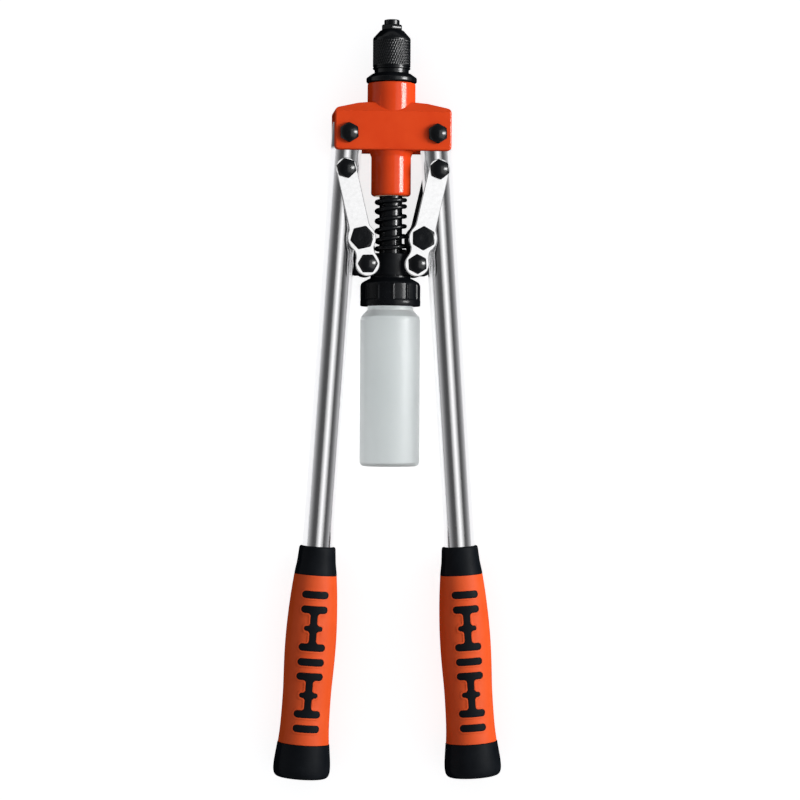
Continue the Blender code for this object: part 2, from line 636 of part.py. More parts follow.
def cone_r(y):
    """Jaws' outer radius: the case's cone less its running gap, and straight past the mouth."""
    return CASE_MOUTH_R + max(case_top - y, 0.0) * taper - RUN_GAP


for number in range(3):
    jaw = tube(f"jaw_{number + 1}",
               [(cone_r(jaw_tip) - 0.5, jaw_tip), (cone_r(case_top), case_top - 0.2), (cone_r(jaw_low), jaw_low)],
               [(JAW_BORE_R, jaw_tip), (JAW_BORE_R, jaw_low + JAW_FOOT_LEN), (JAW_FOOT_R, jaw_low)], 24)
    keep(place(jaw, jaw_body, (0, lift, 0), along_y=True), "bright_steel")
    half = math.radians(60)
    inset = JAW_SPLIT / 2 / math.sin(half)
    spin = math.radians(90 + 120 * number)
    wedge = [(inset * math.cos(spin), inset * math.sin(spin))]
    for turn in (-half, 0, half):
        wedge.append((inset * math.cos(spin) + 20 * math.cos(spin + turn),
                      inset * math.sin(spin) + 20 * math.sin(spin + turn)))
    sector = slab("jaw_sector", [wedge], jaw_low - 2, jaw_tip + 2)
    combine(jaw, tool(place(sector, jaw_body, (0, lift, 0), along_y=True)), "INTERSECT")
pusher = tube("jaw_pusher", [(PUSHER_BORE_R + 0.4, pusher_top), (JAW_FOOT_R - 2 * RUN_GAP, jaw_low - RUN_GAP),
                             (PUSHER_R, jaw_low - RUN_GAP), (PUSHER_R, pusher_low)],
              [(PUSHER_BORE_R, pusher_top), (PUSHER_BORE_R, pusher_low)], 24)
keep(place(pusher, jaw_body, (0, lift, 0), along_y=True), "bright_steel")
jaw_spring = coil("jaw_spring", PUSHER_R - JAW_WIRE_R, JAW_WIRE_R, spigot_top + RUN_GAP,
                  pusher_low - RUN_GAP, JAW_COILS, SPRING_CLOSED, 8)
keep(place(jaw_spring, slider, (0, lift, 0), along_y=True), "bright_steel")

# Ribbed cap under the crosshead, and the bottle that screws into it
skirt = CAP_R
cap = tube("bottle_cap",
           [(CAP_NECK_R, cap_top), (CAP_NECK_R, cap_top - CAP_NECK_H), (skirt - 1.2, cap_body + 0.5),
            (skirt, cap_body - 0.8), (skirt, cap_low + CAP_RIM_H + 0.4), (CAP_RIM_R, cap_low + CAP_RIM_H),
            (CAP_RIM_R, cap_low + 0.5), (CAP_RIM_R - 0.5, cap_low)],
           [(ROD_R + FIT_GAP, cap_top), (ROD_R + FIT_GAP, cap_roof), (BOTTLE_NECK_R + RUN_GAP, cap_roof),
            (BOTTLE_NECK_R + RUN_GAP, cap_low)], 36)
keep(place(cap, slider, (0, lift, 0), along_y=True), "black_plastic")
for number in range(CAP_RIBS):
    spin = 2 * math.pi * number / CAP_RIBS
    x, z = (skirt - RIB_SINK) * math.cos(spin), (skirt - RIB_SINK) * math.sin(spin)
    foot = cap_low + CAP_RIM_H - 0.5
    rib = turned("cap_rib", [(0, cap_body - 0.5), (RIB_R * 0.6, cap_body - 0.7), (RIB_R, cap_body - 1.8), (RIB_R, foot),
                             (0, foot)], 6)
    combine(cap, tool(place(rib, slider, (x, lift, z), along_y=True)), "UNION")

seal_body = frame("seal_body", (0, 0, 0), slider)
seal = tube("bottle_seal", [(BOTTLE_NECK_R, seal_top), (BOTTLE_NECK_R, seal_top - SEAL_H)],
            [(SEAL_HOLE_R, seal_top), (SEAL_HOLE_R, seal_top - SEAL_H)], 24)
keep(place(seal, seal_body, (0, lift, 0), along_y=True), "seal_rubber")
bottle_body = frame("bottle_body", (0, 0, 0), seal_body)
wall = BOTTLE_WALL
outer = [(BOTTLE_NECK_R, bottle_top), (BOTTLE_NECK_R, shoulder_top), (BOTTLE_NECK_R + 1.1, shoulder_top - 0.3),
         (BOTTLE_R - 0.9, shoulder_low + 1.6), (BOTTLE_R, shoulder_low),
         (BOTTLE_R, bottle_foot + BOTTLE_FOOT_R)]
for k in (1, 2):
    angle = math.pi / 2 * k / 2
    outer.append((BOTTLE_R - BOTTLE_FOOT_R * (1 - math.cos(angle)), bottle_foot + BOTTLE_FOOT_R * (1 - math.sin(angle))))
outer += [(BOTTLE_R * 0.62, bottle_foot), (BOTTLE_R * 0.45, bottle_foot + 1.4), (0, bottle_foot + 1.6)]
inner = [(0, bottle_foot + 1.6 + wall), (BOTTLE_R * 0.62, bottle_foot + wall),
         (BOTTLE_R - BOTTLE_FOOT_R, bottle_foot + wall), (BOTTLE_R - wall, bottle_foot + BOTTLE_FOOT_R),
         (BOTTLE_R - wall, shoulder_low), (BOTTLE_R - wall - 0.9, shoulder_low + 1.2),
         (BOTTLE_NECK_R - wall, shoulder_top - 0.6), (BOTTLE_NECK_R - wall, bottle_top)]
bottle = turned("bottle", inner + outer, 32)
keep(place(bottle, bottle_body, (0, lift, 0), along_y=True), "clear_plastic")

# Handles, links and their fasteners, the same on both sides
for side_name, sign in (("left", -1), ("right", 1)):
    handle = frame(f"{side_name}_handle", (sign * pivot_half, pivot_y, 0), body, sign * LEAN)
    tube_low = TUBE_END_S - HANDLE_LEN
    bore_r = TUBE_R - TUBE_WALL
    pipe = tube(f"{side_name}_tube", [(TUBE_R, TUBE_ABOVE), (TUBE_R, tube_low)], [(bore_r, TUBE_ABOVE), (bore_r, tube_low)])
    keep(place(pipe, handle, along_y=True), "chrome_tube")
    insert = rod(f"{side_name}_insert", bore_r - FIT_GAP, TUBE_ABOVE - INSERT_LEN, TUBE_ABOVE - 0.2, 32)
    keep(place(insert, handle, along_y=True), "black_plastic")
    for piece in (pipe, insert):
        for down, gap in ((0, RUN_GAP), (LINK_PIVOT_DOWN, FIT_GAP)):
            cross = rod("bolt_hole", PIN_R + gap, -2 * TUBE_R, 2 * TUBE_R, 12)
            combine(piece, tool(place(cross, handle, (0, -down, 0))))

    grip_out = [(r, s - HANDLE_LEN) for r, s in reversed(GRIP_COLLAR)]
    grip_out += [(GRIP_CORE_R, GRIP_COLLAR[0][1] - HANDLE_LEN), (GRIP_CORE_R, GRIP_END[-1][1] - HANDLE_LEN)]
    grip_out += [(r, s - HANDLE_LEN) for r, s in reversed(GRIP_END)] + [(0, -HANDLE_LEN)]
    core = keep(place(turned(f"{side_name}_grip_core", [(0, grip_out[0][1])] + grip_out, SLEEVE_STEPS), handle, along_y=True),
                "black_rubber")
    ring = tube("pad_ring", [(r + PAD_PROUD, s - HANDLE_LEN) for r, s in reversed(SLEEVE_OUT)],
                [(GRIP_CORE_R - 0.8, SLEEVE_OUT[-1][1] - HANDLE_LEN), (GRIP_CORE_R - 0.8, SLEEVE_OUT[0][1] - HANDLE_LEN)],
                SLEEVE_STEPS)
    pads = tool(place(slab("pads", pad_outlines(PAD_GAP), RUN_GAP, 2 * rest_depth), handle))
    combine(pads, tool(place(ring, handle, along_y=True)), "INTERSECT")
    combine(core, pads, "UNION")
    socket = turned("tube_socket", [(0, grip_len - HANDLE_LEN + 1), (TUBE_R + FIT_GAP, grip_len - HANDLE_LEN + 1),
                                    (TUBE_R + FIT_GAP, tube_low - FIT_END), (0, tube_low - FIT_END)], 32)
    combine(core, tool(place(socket, handle, along_y=True)))
    sleeve = tube(f"{side_name}_grip_sleeve", [(r, s - HANDLE_LEN) for r, s in reversed(SLEEVE_OUT)],
                  [(GRIP_CORE_R + FIT_GAP, SLEEVE_OUT[-1][1] - HANDLE_LEN), (GRIP_CORE_R + FIT_GAP, SLEEVE_OUT[0][1] - HANDLE_LEN)],
                  SLEEVE_STEPS)
    keep(place(sleeve, handle, along_y=True), "orange_grip")
    combine(sleeve, tool(place(slab("windows", pad_outlines(0.0), RUN_GAP, 2 * rest_depth), handle)))

    bolt(f"{side_name}_pivot_bolt", body, (sign * pivot_half, pivot_y), cheek_seat, -rest_depth, PIN_R, HEX_AF, HEX_H,
         "black_oxide", math.radians(12 * sign))
    nut(f"{side_name}_pivot_nut", body, (sign * pivot_half, pivot_y), cheek_seat, PIN_R, HEX_AF, "black_oxide")
    link_tail = -link_seat - NUT_H - BOLT_OUT
    bolt(f"{side_name}_link_bolt", handle, (0, -LINK_PIVOT_DOWN), link_seat, link_tail, PIN_R, HEX_AF, HEX_H,
         "black_oxide", math.radians(9))
    nut(f"{side_name}_link_nut", handle, (0, -LINK_PIVOT_DOWN), link_seat, PIN_R, HEX_AF, "black_oxide")

    link = frame(f"{side_name}_link", (sign * link_x, link_y, 0), body, -sign * LINK_TILT)
    holes = [circle(0, 0, PIN_R + RUN_GAP), circle(0, -tie_down, TIE_R + FIT_GAP), circle(0, -link_len, CROSS_PIN_R + FIT_GAP)]
    plate = link_outline()
    for face, near, far, finish in (("front", plate_in, plate_out, "plated_steel"), ("rear", -plate_out, -plate_in, "black_oxide")):
        keep(place(slab(f"{side_name}_link_{face}", [plate] + holes, near, far), link), finish)
    bolt(f"{side_name}_tie_bolt", link, (0, -tie_down), link_seat, link_tail, TIE_R, TIE_AF, TIE_H, "black_oxide",
         math.radians(20), True)
    nut(f"{side_name}_tie_nut", link, (0, -tie_down), link_seat, TIE_R, TIE_AF, "black_oxide")
    bolt(f"{side_name}_cross_bolt", link, (0, -link_len), link_seat, link_tail, CROSS_PIN_R, HEX_AF, HEX_H,
         "black_oxide", math.radians(25))
    nut(f"{side_name}_cross_nut", link, (0, -link_len), link_seat, CROSS_PIN_R, HEX_AF, "black_oxide")
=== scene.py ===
import json
import math

import bmesh
import bpy
from mathutils import Matrix, Vector

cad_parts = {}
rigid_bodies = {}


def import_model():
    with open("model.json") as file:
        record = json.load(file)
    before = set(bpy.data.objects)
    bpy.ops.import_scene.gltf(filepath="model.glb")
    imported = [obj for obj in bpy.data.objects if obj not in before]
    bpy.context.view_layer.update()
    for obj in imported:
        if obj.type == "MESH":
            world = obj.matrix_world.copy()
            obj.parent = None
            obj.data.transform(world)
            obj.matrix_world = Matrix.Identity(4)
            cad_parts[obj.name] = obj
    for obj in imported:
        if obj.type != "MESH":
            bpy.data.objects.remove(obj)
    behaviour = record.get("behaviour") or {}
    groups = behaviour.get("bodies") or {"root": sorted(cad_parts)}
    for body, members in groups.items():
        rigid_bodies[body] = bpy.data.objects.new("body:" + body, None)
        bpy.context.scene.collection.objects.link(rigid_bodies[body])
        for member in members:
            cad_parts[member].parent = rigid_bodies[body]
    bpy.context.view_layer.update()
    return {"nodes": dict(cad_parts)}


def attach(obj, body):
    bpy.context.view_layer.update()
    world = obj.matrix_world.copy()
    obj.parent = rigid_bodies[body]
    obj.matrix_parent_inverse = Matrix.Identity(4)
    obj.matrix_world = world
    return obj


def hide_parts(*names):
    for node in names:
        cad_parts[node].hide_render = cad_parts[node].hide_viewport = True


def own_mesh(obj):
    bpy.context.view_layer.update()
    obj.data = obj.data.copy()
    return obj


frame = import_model()

MM = 0.001
# Sizes of the solids, in millimetres. Stations run along the tool from the grip ends.
GAP, FIT = 0.3, 0.15
LEAN, TILT = math.radians(3.8), math.radians(12.95)
HANDLE_LEN, TUBE_R, TUBE_ABOVE, TUBE_END = 364.6, 8.75, 6.3, 8.0
PIVOT_X, LINK_DOWN, TIE_TO_END = 25.0, 20.0, 14.9
HEAD_END, HEAD_DEEP, BAR_BELOW, BAR_ABOVE, CROWN_ABOVE = 8.0, 28.0, 9.4, 14.0, 18.0
SLOPE_HIGH, SLOPE_DEEP, POCKET_TOP, NECK_R, SLEEVE_R = 5.8, 5.0, 11.4, 13.6, 11.25
SPIGOT_R, SPIGOT_LEN, BORE_R, BUSH_R, BUSH_LEN = 9.2, 14.0, 8.3, 9.1, 14.0
FLANGE_R, HOUSING_R, CONE_R, NOSE_AF, NOSE_TIP_R = 14.35, 10.7, 6.7, 10.5, 4.35
ROD_R, ROD_BORE_R, SPRING_R, WIRE_R, STROKE = 6.5, 2.6, 8.0, 1.0, 14.5
PIN_R, TIE_R, LINK_THICK, HUB_R = 3.0, 2.5, 3.0, 10.8
CAP_R, CAP_NECK_R, CAP_RIM_R, CAP_RIM_H, CAP_RIBS = 16.5, 11.4, 17.1, 3.6, 12
NECK_OUT, BOTTLE_R, BOTTLE_FOOT_R, BOTTLE_WALL = 13.0, 17.0, 2.7, 1.3
NUT_H, BOLT_OUT = 4.7, 1.0
# The grip's parts as (radius, station)
COLLAR = [(12.05, 115.1), (11.6, 118.3), (11.0, 121.9), (10.6, 126.4), (10.35, 129.4), (10.05, 130.6),
          (9.6, 130.9)]
END = [(12.3, 0.0), (13.6, 0.15), (14.7, 0.7), (15.5, 1.8), (15.95, 3.4), (16.1, 5.4), (15.95, 9.0),
       (15.45, 13.5), (14.75, 19.3)]
SLEEVE = [(14.5, 19.6), (14.05, 25.0), (13.78, 31.0), (13.65, 40.0), (13.68, 48.9), (13.95, 57.0),
          (14.25, 65.0), (14.4, 74.0), (14.3, 82.9), (13.98, 91.0), (13.5, 99.0), (12.9, 106.5),
          (12.35, 112.0), (12.05, 114.8)]
BARS, STEMS, STEM_LEN, BAR_W, BAR_H = (104.1, 66.3, 28.8), (85.2, 47.6), 25.4, 14.8, 4.2
GRIP_CORE_R = 11.6
# Link plates, bolt heads across flats and high, and the thread's pitch
LINK_TOP_R, LINK_BOSS_R, LINK_END_R, LINK_STRAP, LINK_NECK, REAR_WIDER = 6.0, 8.1, 6.8, 5.9, 5.4, 0.5
HEX_AF, HEX_H, TIE_AF, TIE_H, THREAD_PITCH, DIMPLE_R, DIMPLE_DEEP = 10.0, 4.3, 12.0, 4.1, 1.0, 2.4, 0.1
# Nose, cap, bottle, and what lies inside
HOUSING_NECK_R, HOUSING_TOP_WALL, NOSE_BORE_R, NOSE_SCREW_R, NOSE_SCREW_LEN = 9.75, 6.8, 2.5, 4.1, 6.3
CAP_H, CAP_TOP_WALL, SEAL_H, BOTTLE_NECK_SHOWS, BOTTLE_SHOULDER, BOTTLE_LEN = 13.3, 2.6, 1.2, 2.2, 4.6, 84.0
ROD_SPIGOT_R, SLOT_UP, SLOT_SIDE = 5.0, 1.9, 0.55
JAW_COIL_R, JAW_WIRE_R, JAW_COILS, JAW_TRAVEL, SPRING_TURNS, SPRING_CLOSED = 4.85, 0.55, 3, 2.4, 4.4, 0.9

PIVOT_Y = max((HANDLE_LEN - s) * math.cos(LEAN) + r * math.sin(LEAN) for r, s in END)
NECK_TOP, SLEEVE_END = PIVOT_Y + 29.4, PIVOT_Y - 34.6
FLANGE_LOW = NECK_TOP + GAP
FLANGE_TOP = FLANGE_LOW + 5.0
HOUSE_LOW = FLANGE_TOP + GAP + 2.3
CONE_LOW = HOUSE_LOW + 17.4
CONE_TOP = CONE_LOW + 4.7
HEX_LOW = CONE_TOP + GAP
HEX_TOP = HEX_LOW + 2.9
TIP = HEX_TOP + 2.9
MIDDLE, DEPTH = TIP / 2, HEAD_DEEP / 2 + GAP + NUT_H + BOLT_OUT
LINK_X, LINK_Y = PIVOT_X + LINK_DOWN * math.sin(LEAN), PIVOT_Y - LINK_DOWN * math.cos(LEAN)
TIE_DOWN = (TUBE_R + TIE_R + GAP) / math.sin(LEAN + TILT)
LINK_LEN = TIE_DOWN + TIE_TO_END
CROSS_X, PIN_Y = LINK_X - LINK_LEN * math.sin(TILT), LINK_Y - LINK_LEN * math.cos(TILT)
EAR_TOP = PIN_Y + TIE_TO_END * math.cos(TILT) - TIE_R - 1.4
CROSS_LOW, HUB_TOP = PIN_Y - 6.0, PIN_Y + 6.3
CAP_TOP = CROSS_LOW - GAP
CAP_BODY = CAP_TOP - 3.9
CAP_LOW, CAP_ROOF = CAP_BODY - CAP_H, CAP_BODY - CAP_TOP_WALL
BOTTLE_TOP, SHOULDER_TOP = CAP_ROOF - 2 * GAP - SEAL_H, CAP_LOW - BOTTLE_NECK_SHOWS
SHOULDER_LOW = SHOULDER_TOP - BOTTLE_SHOULDER
FOOT = SHOULDER_LOW - BOTTLE_LEN
PLATE_IN = TUBE_R + GAP
PLATE_OUT = PLATE_IN + LINK_THICK
CASE_LOW = HEX_LOW - NOSE_SCREW_LEN - 0.6 - STROKE - 1.5 - 34.0

LAY = Matrix.Rotation(-math.pi / 2, 4, "X")
WORLD = Matrix.Translation((0, -MIDDLE * MM, DEPTH * MM))


def at(x, y, z=0.0, turn=0.0):
    return WORLD @ Matrix.Translation((x * MM, y * MM, z * MM)) @ Matrix.Rotation(turn, 4, "Z")


def link_nodes(material):
    tree = material.node_tree
    return tree.nodes, tree.links, tree.nodes["Principled BSDF"]


def new_material(name, colour, rough, metal=0.0, **sockets):
    material = bpy.data.materials.new(name)
    material.use_nodes = True
    shader = material.node_tree.nodes["Principled BSDF"]
    shader.inputs["Base Color"].default_value = (*colour, 1)
    shader.inputs["Roughness"].default_value = rough
    shader.inputs["Metallic"].default_value = metal
    for socket, value in sockets.items():
        shader.inputs[socket.replace("_", " ")].default_value = value
    return material


def maths(tree, operation, *values):
    """A maths node's result. Each value is a number or another node's output."""
    node = tree.nodes.new("ShaderNodeMath")
    node.operation = operation
    for socket, value in zip(node.inputs, values):
        if isinstance(value, (int, float)):
            socket.default_value = value
        else:
            tree.links.new(value, socket)
    return node.outputs[0]


def map_range(tree, source, start, end, low, high):
    """Maps a source from start and end to low and high."""
    node = tree.nodes.new("ShaderNodeMapRange")
    for key, value in (("From Min", start), ("From Max", end), ("To Min", low), ("To Max", high)):
        node.inputs[key].default_value = value
    tree.links.new(source, node.inputs["Value"])
    return node.outputs["Result"]


def mix_colour(tree, factor):
    """A colour mix by that factor, whose inputs A and B are still to be set."""
    node = tree.nodes.new("ShaderNodeMix")
    node.data_type = "RGBA"
    tree.links.new(factor, node.inputs["Factor"])
    return node


def coordinate(tree, kind, axis):
    """One axis of the object's, normal's or generated coordinates."""
    place = tree.nodes.new("ShaderNodeTexCoord")
    split = tree.nodes.new("ShaderNodeSeparateXYZ")
    tree.links.new(place.outputs[kind], split.inputs[0])
    return split.outputs[axis]


def noise_of(material, scale, detail=4.0, stretch=(1, 1, 1), rough=0.55):
    """A noise of that many features per metre in the object's own coordinates."""
    nodes, links, _ = link_nodes(material)
    place = nodes.new("ShaderNodeTexCoord")
    mapping = nodes.new("ShaderNodeMapping")
    mapping.inputs["Scale"].default_value = stretch
    noise = nodes.new("ShaderNodeTexNoise")
    noise.inputs["Scale"].default_value = scale
    noise.inputs["Detail"].default_value = detail
    noise.inputs["Roughness"].default_value = rough
    links.new(place.outputs["Object"], mapping.inputs["Vector"])
    links.new(mapping.outputs["Vector"], noise.inputs["Vector"])
    return noise.outputs["Fac"]


def spread(material, source, low, high, socket, start=0.3, end=0.7):
    """Maps a noise to a socket's range of values or colours."""
    nodes, links, shader = link_nodes(material)
    if isinstance(low, tuple):
        ramp = nodes.new("ShaderNodeValToRGB")
        ramp.color_ramp.elements[0].position, ramp.color_ramp.elements[1].position = start, end
        ramp.color_ramp.elements[0].color, ramp.color_ramp.elements[1].color = (*low, 1), (*high, 1)
        links.new(source, ramp.inputs["Fac"])
        links.new(ramp.outputs["Color"], shader.inputs[socket])
        return
    links.new(map_range(material.node_tree, source, start, end, low, high), shader.inputs[socket])


def bumps(material, *layers):
    """Stacks (source, distance in metres, strength) bump layers."""
    nodes, links, shader = link_nodes(material)
    last = None
    for source, distance, strength in layers:
        bump = nodes.new("ShaderNodeBump")
        bump.inputs["Distance"].default_value = distance
        bump.inputs["Strength"].default_value = strength
        links.new(source, bump.inputs["Height"])
        if last:
            links.new(last.outputs["Normal"], bump.inputs["Normal"])
        last = bump
    links.new(last.outputs["Normal"], shader.inputs["Normal"])


def dull_rim(*materials):
    """Lowers the sheen where a surface turns away: painted shade that keeps turned-away rims and undersides dark in
    place of their reflections.
    """
    for material in materials:
        nodes, links, shader = link_nodes(material)
        level = shader.inputs["Specular IOR Level"]
        weight = nodes.new("ShaderNodeLayerWeight")
        weight.inputs["Blend"].default_value = 0.5
        faded = map_range(material.node_tree, weight.outputs["Facing"], 0.15, 0.42, level.default_value, 0.0)
        links.new(faded, level)


# Materials
paint = new_material("orange_enamel", (0.70, 0.058, 0.010), 0.25, Specular_IOR_Level=0.30)
tone = noise_of(paint, 60, 3)
spread(paint, tone, (0.68, 0.052, 0.009), (0.73, 0.064, 0.012), "Base Color")
spread(paint, noise_of(paint, 900, 2), 0.12, 0.19, "Roughness")
bumps(paint, (noise_of(paint, 380, 2), 0.00010, 0.22), (noise_of(paint, 2200, 2), 0.00002, 0.15))

grip_orange = new_material("grip_orange", (0.72, 0.090, 0.021), 0.52, Specular_IOR_Level=0.15)
spread(grip_orange, noise_of(grip_orange, 70, 3), (0.69, 0.082, 0.018), (0.74, 0.097, 0.024), "Base Color")
spread(grip_orange, noise_of(grip_orange, 1300, 3), 0.48, 0.66, "Roughness")
bumps(grip_orange, (noise_of(grip_orange, 3400, 3), 0.00006, 0.5))

grip_black = new_material("grip_black", (0.0060, 0.0075, 0.0095), 0.5, Specular_IOR_Level=0.06)
spread(grip_black, noise_of(grip_black, 90, 3), (0.0050, 0.0062, 0.0080), (0.0080, 0.0095, 0.0120),
       "Base Color")
spread(grip_black, noise_of(grip_black, 1500, 3), 0.42, 0.62, "Roughness")
bumps(grip_black, (noise_of(grip_black, 3800, 3), 0.00006, 0.5))

oxide = new_material("black_oxide", (0.0045, 0.0055, 0.0070), 0.28, Specular_IOR_Level=0.19)
spread(oxide, noise_of(oxide, 130, 4), (0.0035, 0.0042, 0.0055), (0.0070, 0.0085, 0.0105), "Base Color")
spread(oxide, noise_of(oxide, 700, 4), 0.14, 0.30, "Roughness")
bumps(oxide, (noise_of(oxide, 2400, 3), 0.00002, 0.15))

dark_bolt = new_material("bolt_black", (0.0040, 0.0048, 0.0060), 0.2, Specular_IOR_Level=0.50)
spread(dark_bolt, noise_of(dark_bolt, 160, 4), (0.0032, 0.0038, 0.0048), (0.0058, 0.0068, 0.0082), "Base Color")
spread(dark_bolt, noise_of(dark_bolt, 800, 3), 0.18, 0.27, "Roughness")
bumps(dark_bolt, (noise_of(dark_bolt, 2400, 2), 0.00002, 0.1))

turned_black = new_material("turned_black", (0.0040, 0.0048, 0.0060), 0.25, Specular_IOR_Level=0.42)
spread(turned_black, noise_of(turned_black, 140, 4), (0.0032, 0.0038, 0.0048), (0.0060, 0.0070, 0.0085),
       "Base Color")
spread(turned_black, noise_of(turned_black, 800, 3), 0.20, 0.32, "Roughness")
bumps(turned_black, (noise_of(turned_black, 2400, 2), 0.00002, 0.1))

cast_black = new_material("cast_black", (0.0040, 0.0048, 0.0060), 0.5, Specular_IOR_Level=0.14)
spread(cast_black, noise_of(cast_black, 140, 4), (0.0030, 0.0036, 0.0046), (0.0062, 0.0072, 0.0090), "Base Color")
spread(cast_black, noise_of(cast_black, 900, 3), 0.40, 0.58, "Roughness")
bumps(cast_black, (noise_of(cast_black, 1500, 3), 0.00004, 0.25))

moulded = new_material("moulded_black", (0.0045, 0.0052, 0.0062), 0.30, Specular_IOR_Level=0.21)
spread(moulded, noise_of(moulded, 110, 3), (0.0038, 0.0044, 0.0053), (0.0062, 0.0070, 0.0085), "Base Color")
spread(moulded, noise_of(moulded, 900, 3), 0.20, 0.29, "Roughness")
bumps(moulded, (noise_of(moulded, 1700, 3), 0.00003, 0.15))

chrome = new_material("chrome_plate", (0.90, 0.90, 0.91), 0.18, 1.0)
spread(chrome, noise_of(chrome, 500, 3, (9, 1, 9)), 0.15, 0.22, "Roughness")
bumps(chrome, (noise_of(chrome, 260, 2, (6, 1, 6)), 0.00002, 0.25))

# Painted shade: the tubes' colour is darkened where they run in the crossbar's pockets, in place of the shadow and
# dark reflections there
tree, shader = chrome.node_tree, chrome.node_tree.nodes["Principled BSDF"]
pocket_edge = PIVOT_Y - BAR_BELOW - MIDDLE
painted_pocket_shade = mix_colour(tree, map_range(tree, coordinate(tree, "Object", "Y"), (pocket_edge + 0.6) * MM,
                                  (pocket_edge + 2.6) * MM, 0.0, 1.0))
painted_pocket_shade.inputs["A"].default_value = (0.90, 0.90, 0.91, 1)
painted_pocket_shade.inputs["B"].default_value = (0.06, 0.06, 0.065, 1)
tree.links.new(painted_pocket_shade.outputs["Result"], shader.inputs["Base Color"])

plated = new_material("plated_link", (0.90, 0.90, 0.905), 0.2, 1.0)
spread(plated, noise_of(plated, 120, 2), (0.90, 0.90, 0.905), (0.925, 0.925, 0.93), "Base Color")
spread(plated, noise_of(plated, 500, 2), 0.20, 0.26, "Roughness")
bumps(plated, (noise_of(plated, 1500, 2), 0.00001, 0.12))

# Painted shade: the plates' sheared edges get a dark colour by the way they face, in place of the dark reflections
# along their rims
tree, shader = plated.node_tree, plated.node_tree.nodes["Principled BSDF"]
flat = maths(tree, "ABSOLUTE", coordinate(tree, "Normal", "Z"))
edge = mix_colour(tree, map_range(tree, flat, 0.35, 0.75, 1.0, 0.0))
tree.links.new(shader.inputs["Base Color"].links[0].from_socket, edge.inputs["A"])
edge.inputs["B"].default_value = (0.05, 0.05, 0.055, 1)
tree.links.new(edge.outputs["Result"], shader.inputs["Base Color"])

steel = new_material("bright_steel", (0.62, 0.62, 0.63), 0.25, 1.0)
spread(steel, noise_of(steel, 350, 4), (0.54, 0.54, 0.55), (0.68, 0.68, 0.69), "Base Color")
spread(steel, noise_of(steel, 900, 3, (1, 9, 1)), 0.18, 0.36, "Roughness")
bumps(steel, (noise_of(steel, 1100, 2, (1, 12, 1)), 0.00003, 0.3))

bronze = new_material("bush_bronze", (0.50, 0.30, 0.12), 0.36, 1.0)
spread(bronze, noise_of(bronze, 500, 4), (0.40, 0.23, 0.09), (0.56, 0.34, 0.14), "Base Color")
bumps(bronze, (noise_of(bronze, 1800, 3), 0.00004, 0.4))

milky = new_material("milky_bottle", (0.90, 0.93, 0.93), 0.42, Transmission_Weight=0.88, IOR=1.5,
                     Specular_IOR_Level=0.3)
spread(milky, noise_of(milky, 28, 3, (1, 0.5, 1)), (0.89, 0.925, 0.925), (0.93, 0.955, 0.955), "Base Color")
spread(milky, noise_of(milky, 600, 2), 0.32, 0.46, "Roughness")
bumps(milky, (noise_of(milky, 160, 3, (1, 0.4, 1)), 0.00012, 0.2))

dull_rim(paint, grip_orange, grip_black, oxide, dark_bolt, turned_black, cast_black, moulded)

gasket = new_material("seal_rubber", (0.045, 0.045, 0.045), 0.75)
bumps(gasket, (noise_of(gasket, 2600, 3), 0.00005, 0.5))


# Shapes
def rounded(corners, segments=6, closed=True):
    """The outline through (x, y, radius) corners, each rounded by an arc. Radius may be left out."""
    points = []
    count = len(corners)
    for i, corner in enumerate(corners):
        x, y = corner[0], corner[1]
        radius = corner[2] if len(corner) > 2 else 0
        if radius <= 0 or (not closed and i in (0, count - 1)):
            points.append((x, y))
            continue
        before, after = corners[i - 1], corners[(i + 1) % count]
        ax, ay, bx, by = before[0] - x, before[1] - y, after[0] - x, after[1] - y
        la, lb = math.hypot(ax, ay), math.hypot(bx, by)
        ax, ay, bx, by = ax / la, ay / la, bx / lb, by / lb
        half = math.acos(max(-1.0, min(1.0, ax * bx + ay * by))) / 2
        if half > math.radians(88):
            points.append((x, y))
            continue
        reach = min(radius / math.tan(half), 0.499 * la, 0.499 * lb)
        size = reach * math.tan(half)
        out = math.hypot(ax + bx, ay + by)
        cx = x + (ax + bx) / out * size / math.sin(half)
        cy = y + (ay + by) / out * size / math.sin(half)
        first = math.atan2(y + ay * reach - cy, x + ax * reach - cx)
        last = math.atan2(y + by * reach - cy, x + bx * reach - cx)
        sweep = (last - first + math.pi) % (2 * math.pi) - math.pi
        for k in range(segments + 1):
            angle = first + sweep * k / segments
            points.append((cx + size * math.cos(angle), cy + size * math.sin(angle)))
    return points


def object_of(name, grid, matrix, sharp=38):
    bmesh.ops.remove_doubles(grid, verts=grid.verts, dist=1e-7)
    bmesh.ops.recalc_face_normals(grid, faces=grid.faces)
    mesh = bpy.data.meshes.new(name)
    grid.to_mesh(mesh)
    grid.free()
    mesh.transform(matrix)
    obj = bpy.data.objects.new(name, mesh)
    bpy.context.scene.collection.objects.link(obj)
    soften(obj, sharp)
    return obj


def soften(obj, sharp=38, level=False):
    """Smooth shading with sharp edges. level keeps large flats flat beside their rounded rims."""
    for face in obj.data.polygons:
        face.use_smooth = True
    obj.data.set_sharp_from_angle(angle=math.radians(sharp))
    if level:
        shade = obj.modifiers.new("shade", "WEIGHTED_NORMAL")
        shade.weight = 100
        shade.keep_sharp = True
        bake(obj)


def join_rings(grid, pairs, steps):
    """Faces between pairs of rings. A ring may be a single point."""
    for one, two in pairs:
        for k in range(steps):
            n = (k + 1) % steps
            loop = [one[k % len(one)], one[n % len(one)], two[n % len(two)], two[k % len(two)]]
            loop = [v for i, v in enumerate(loop) if v not in loop[:i]]
            if len(loop) > 2:
                grid.faces.new(loop)


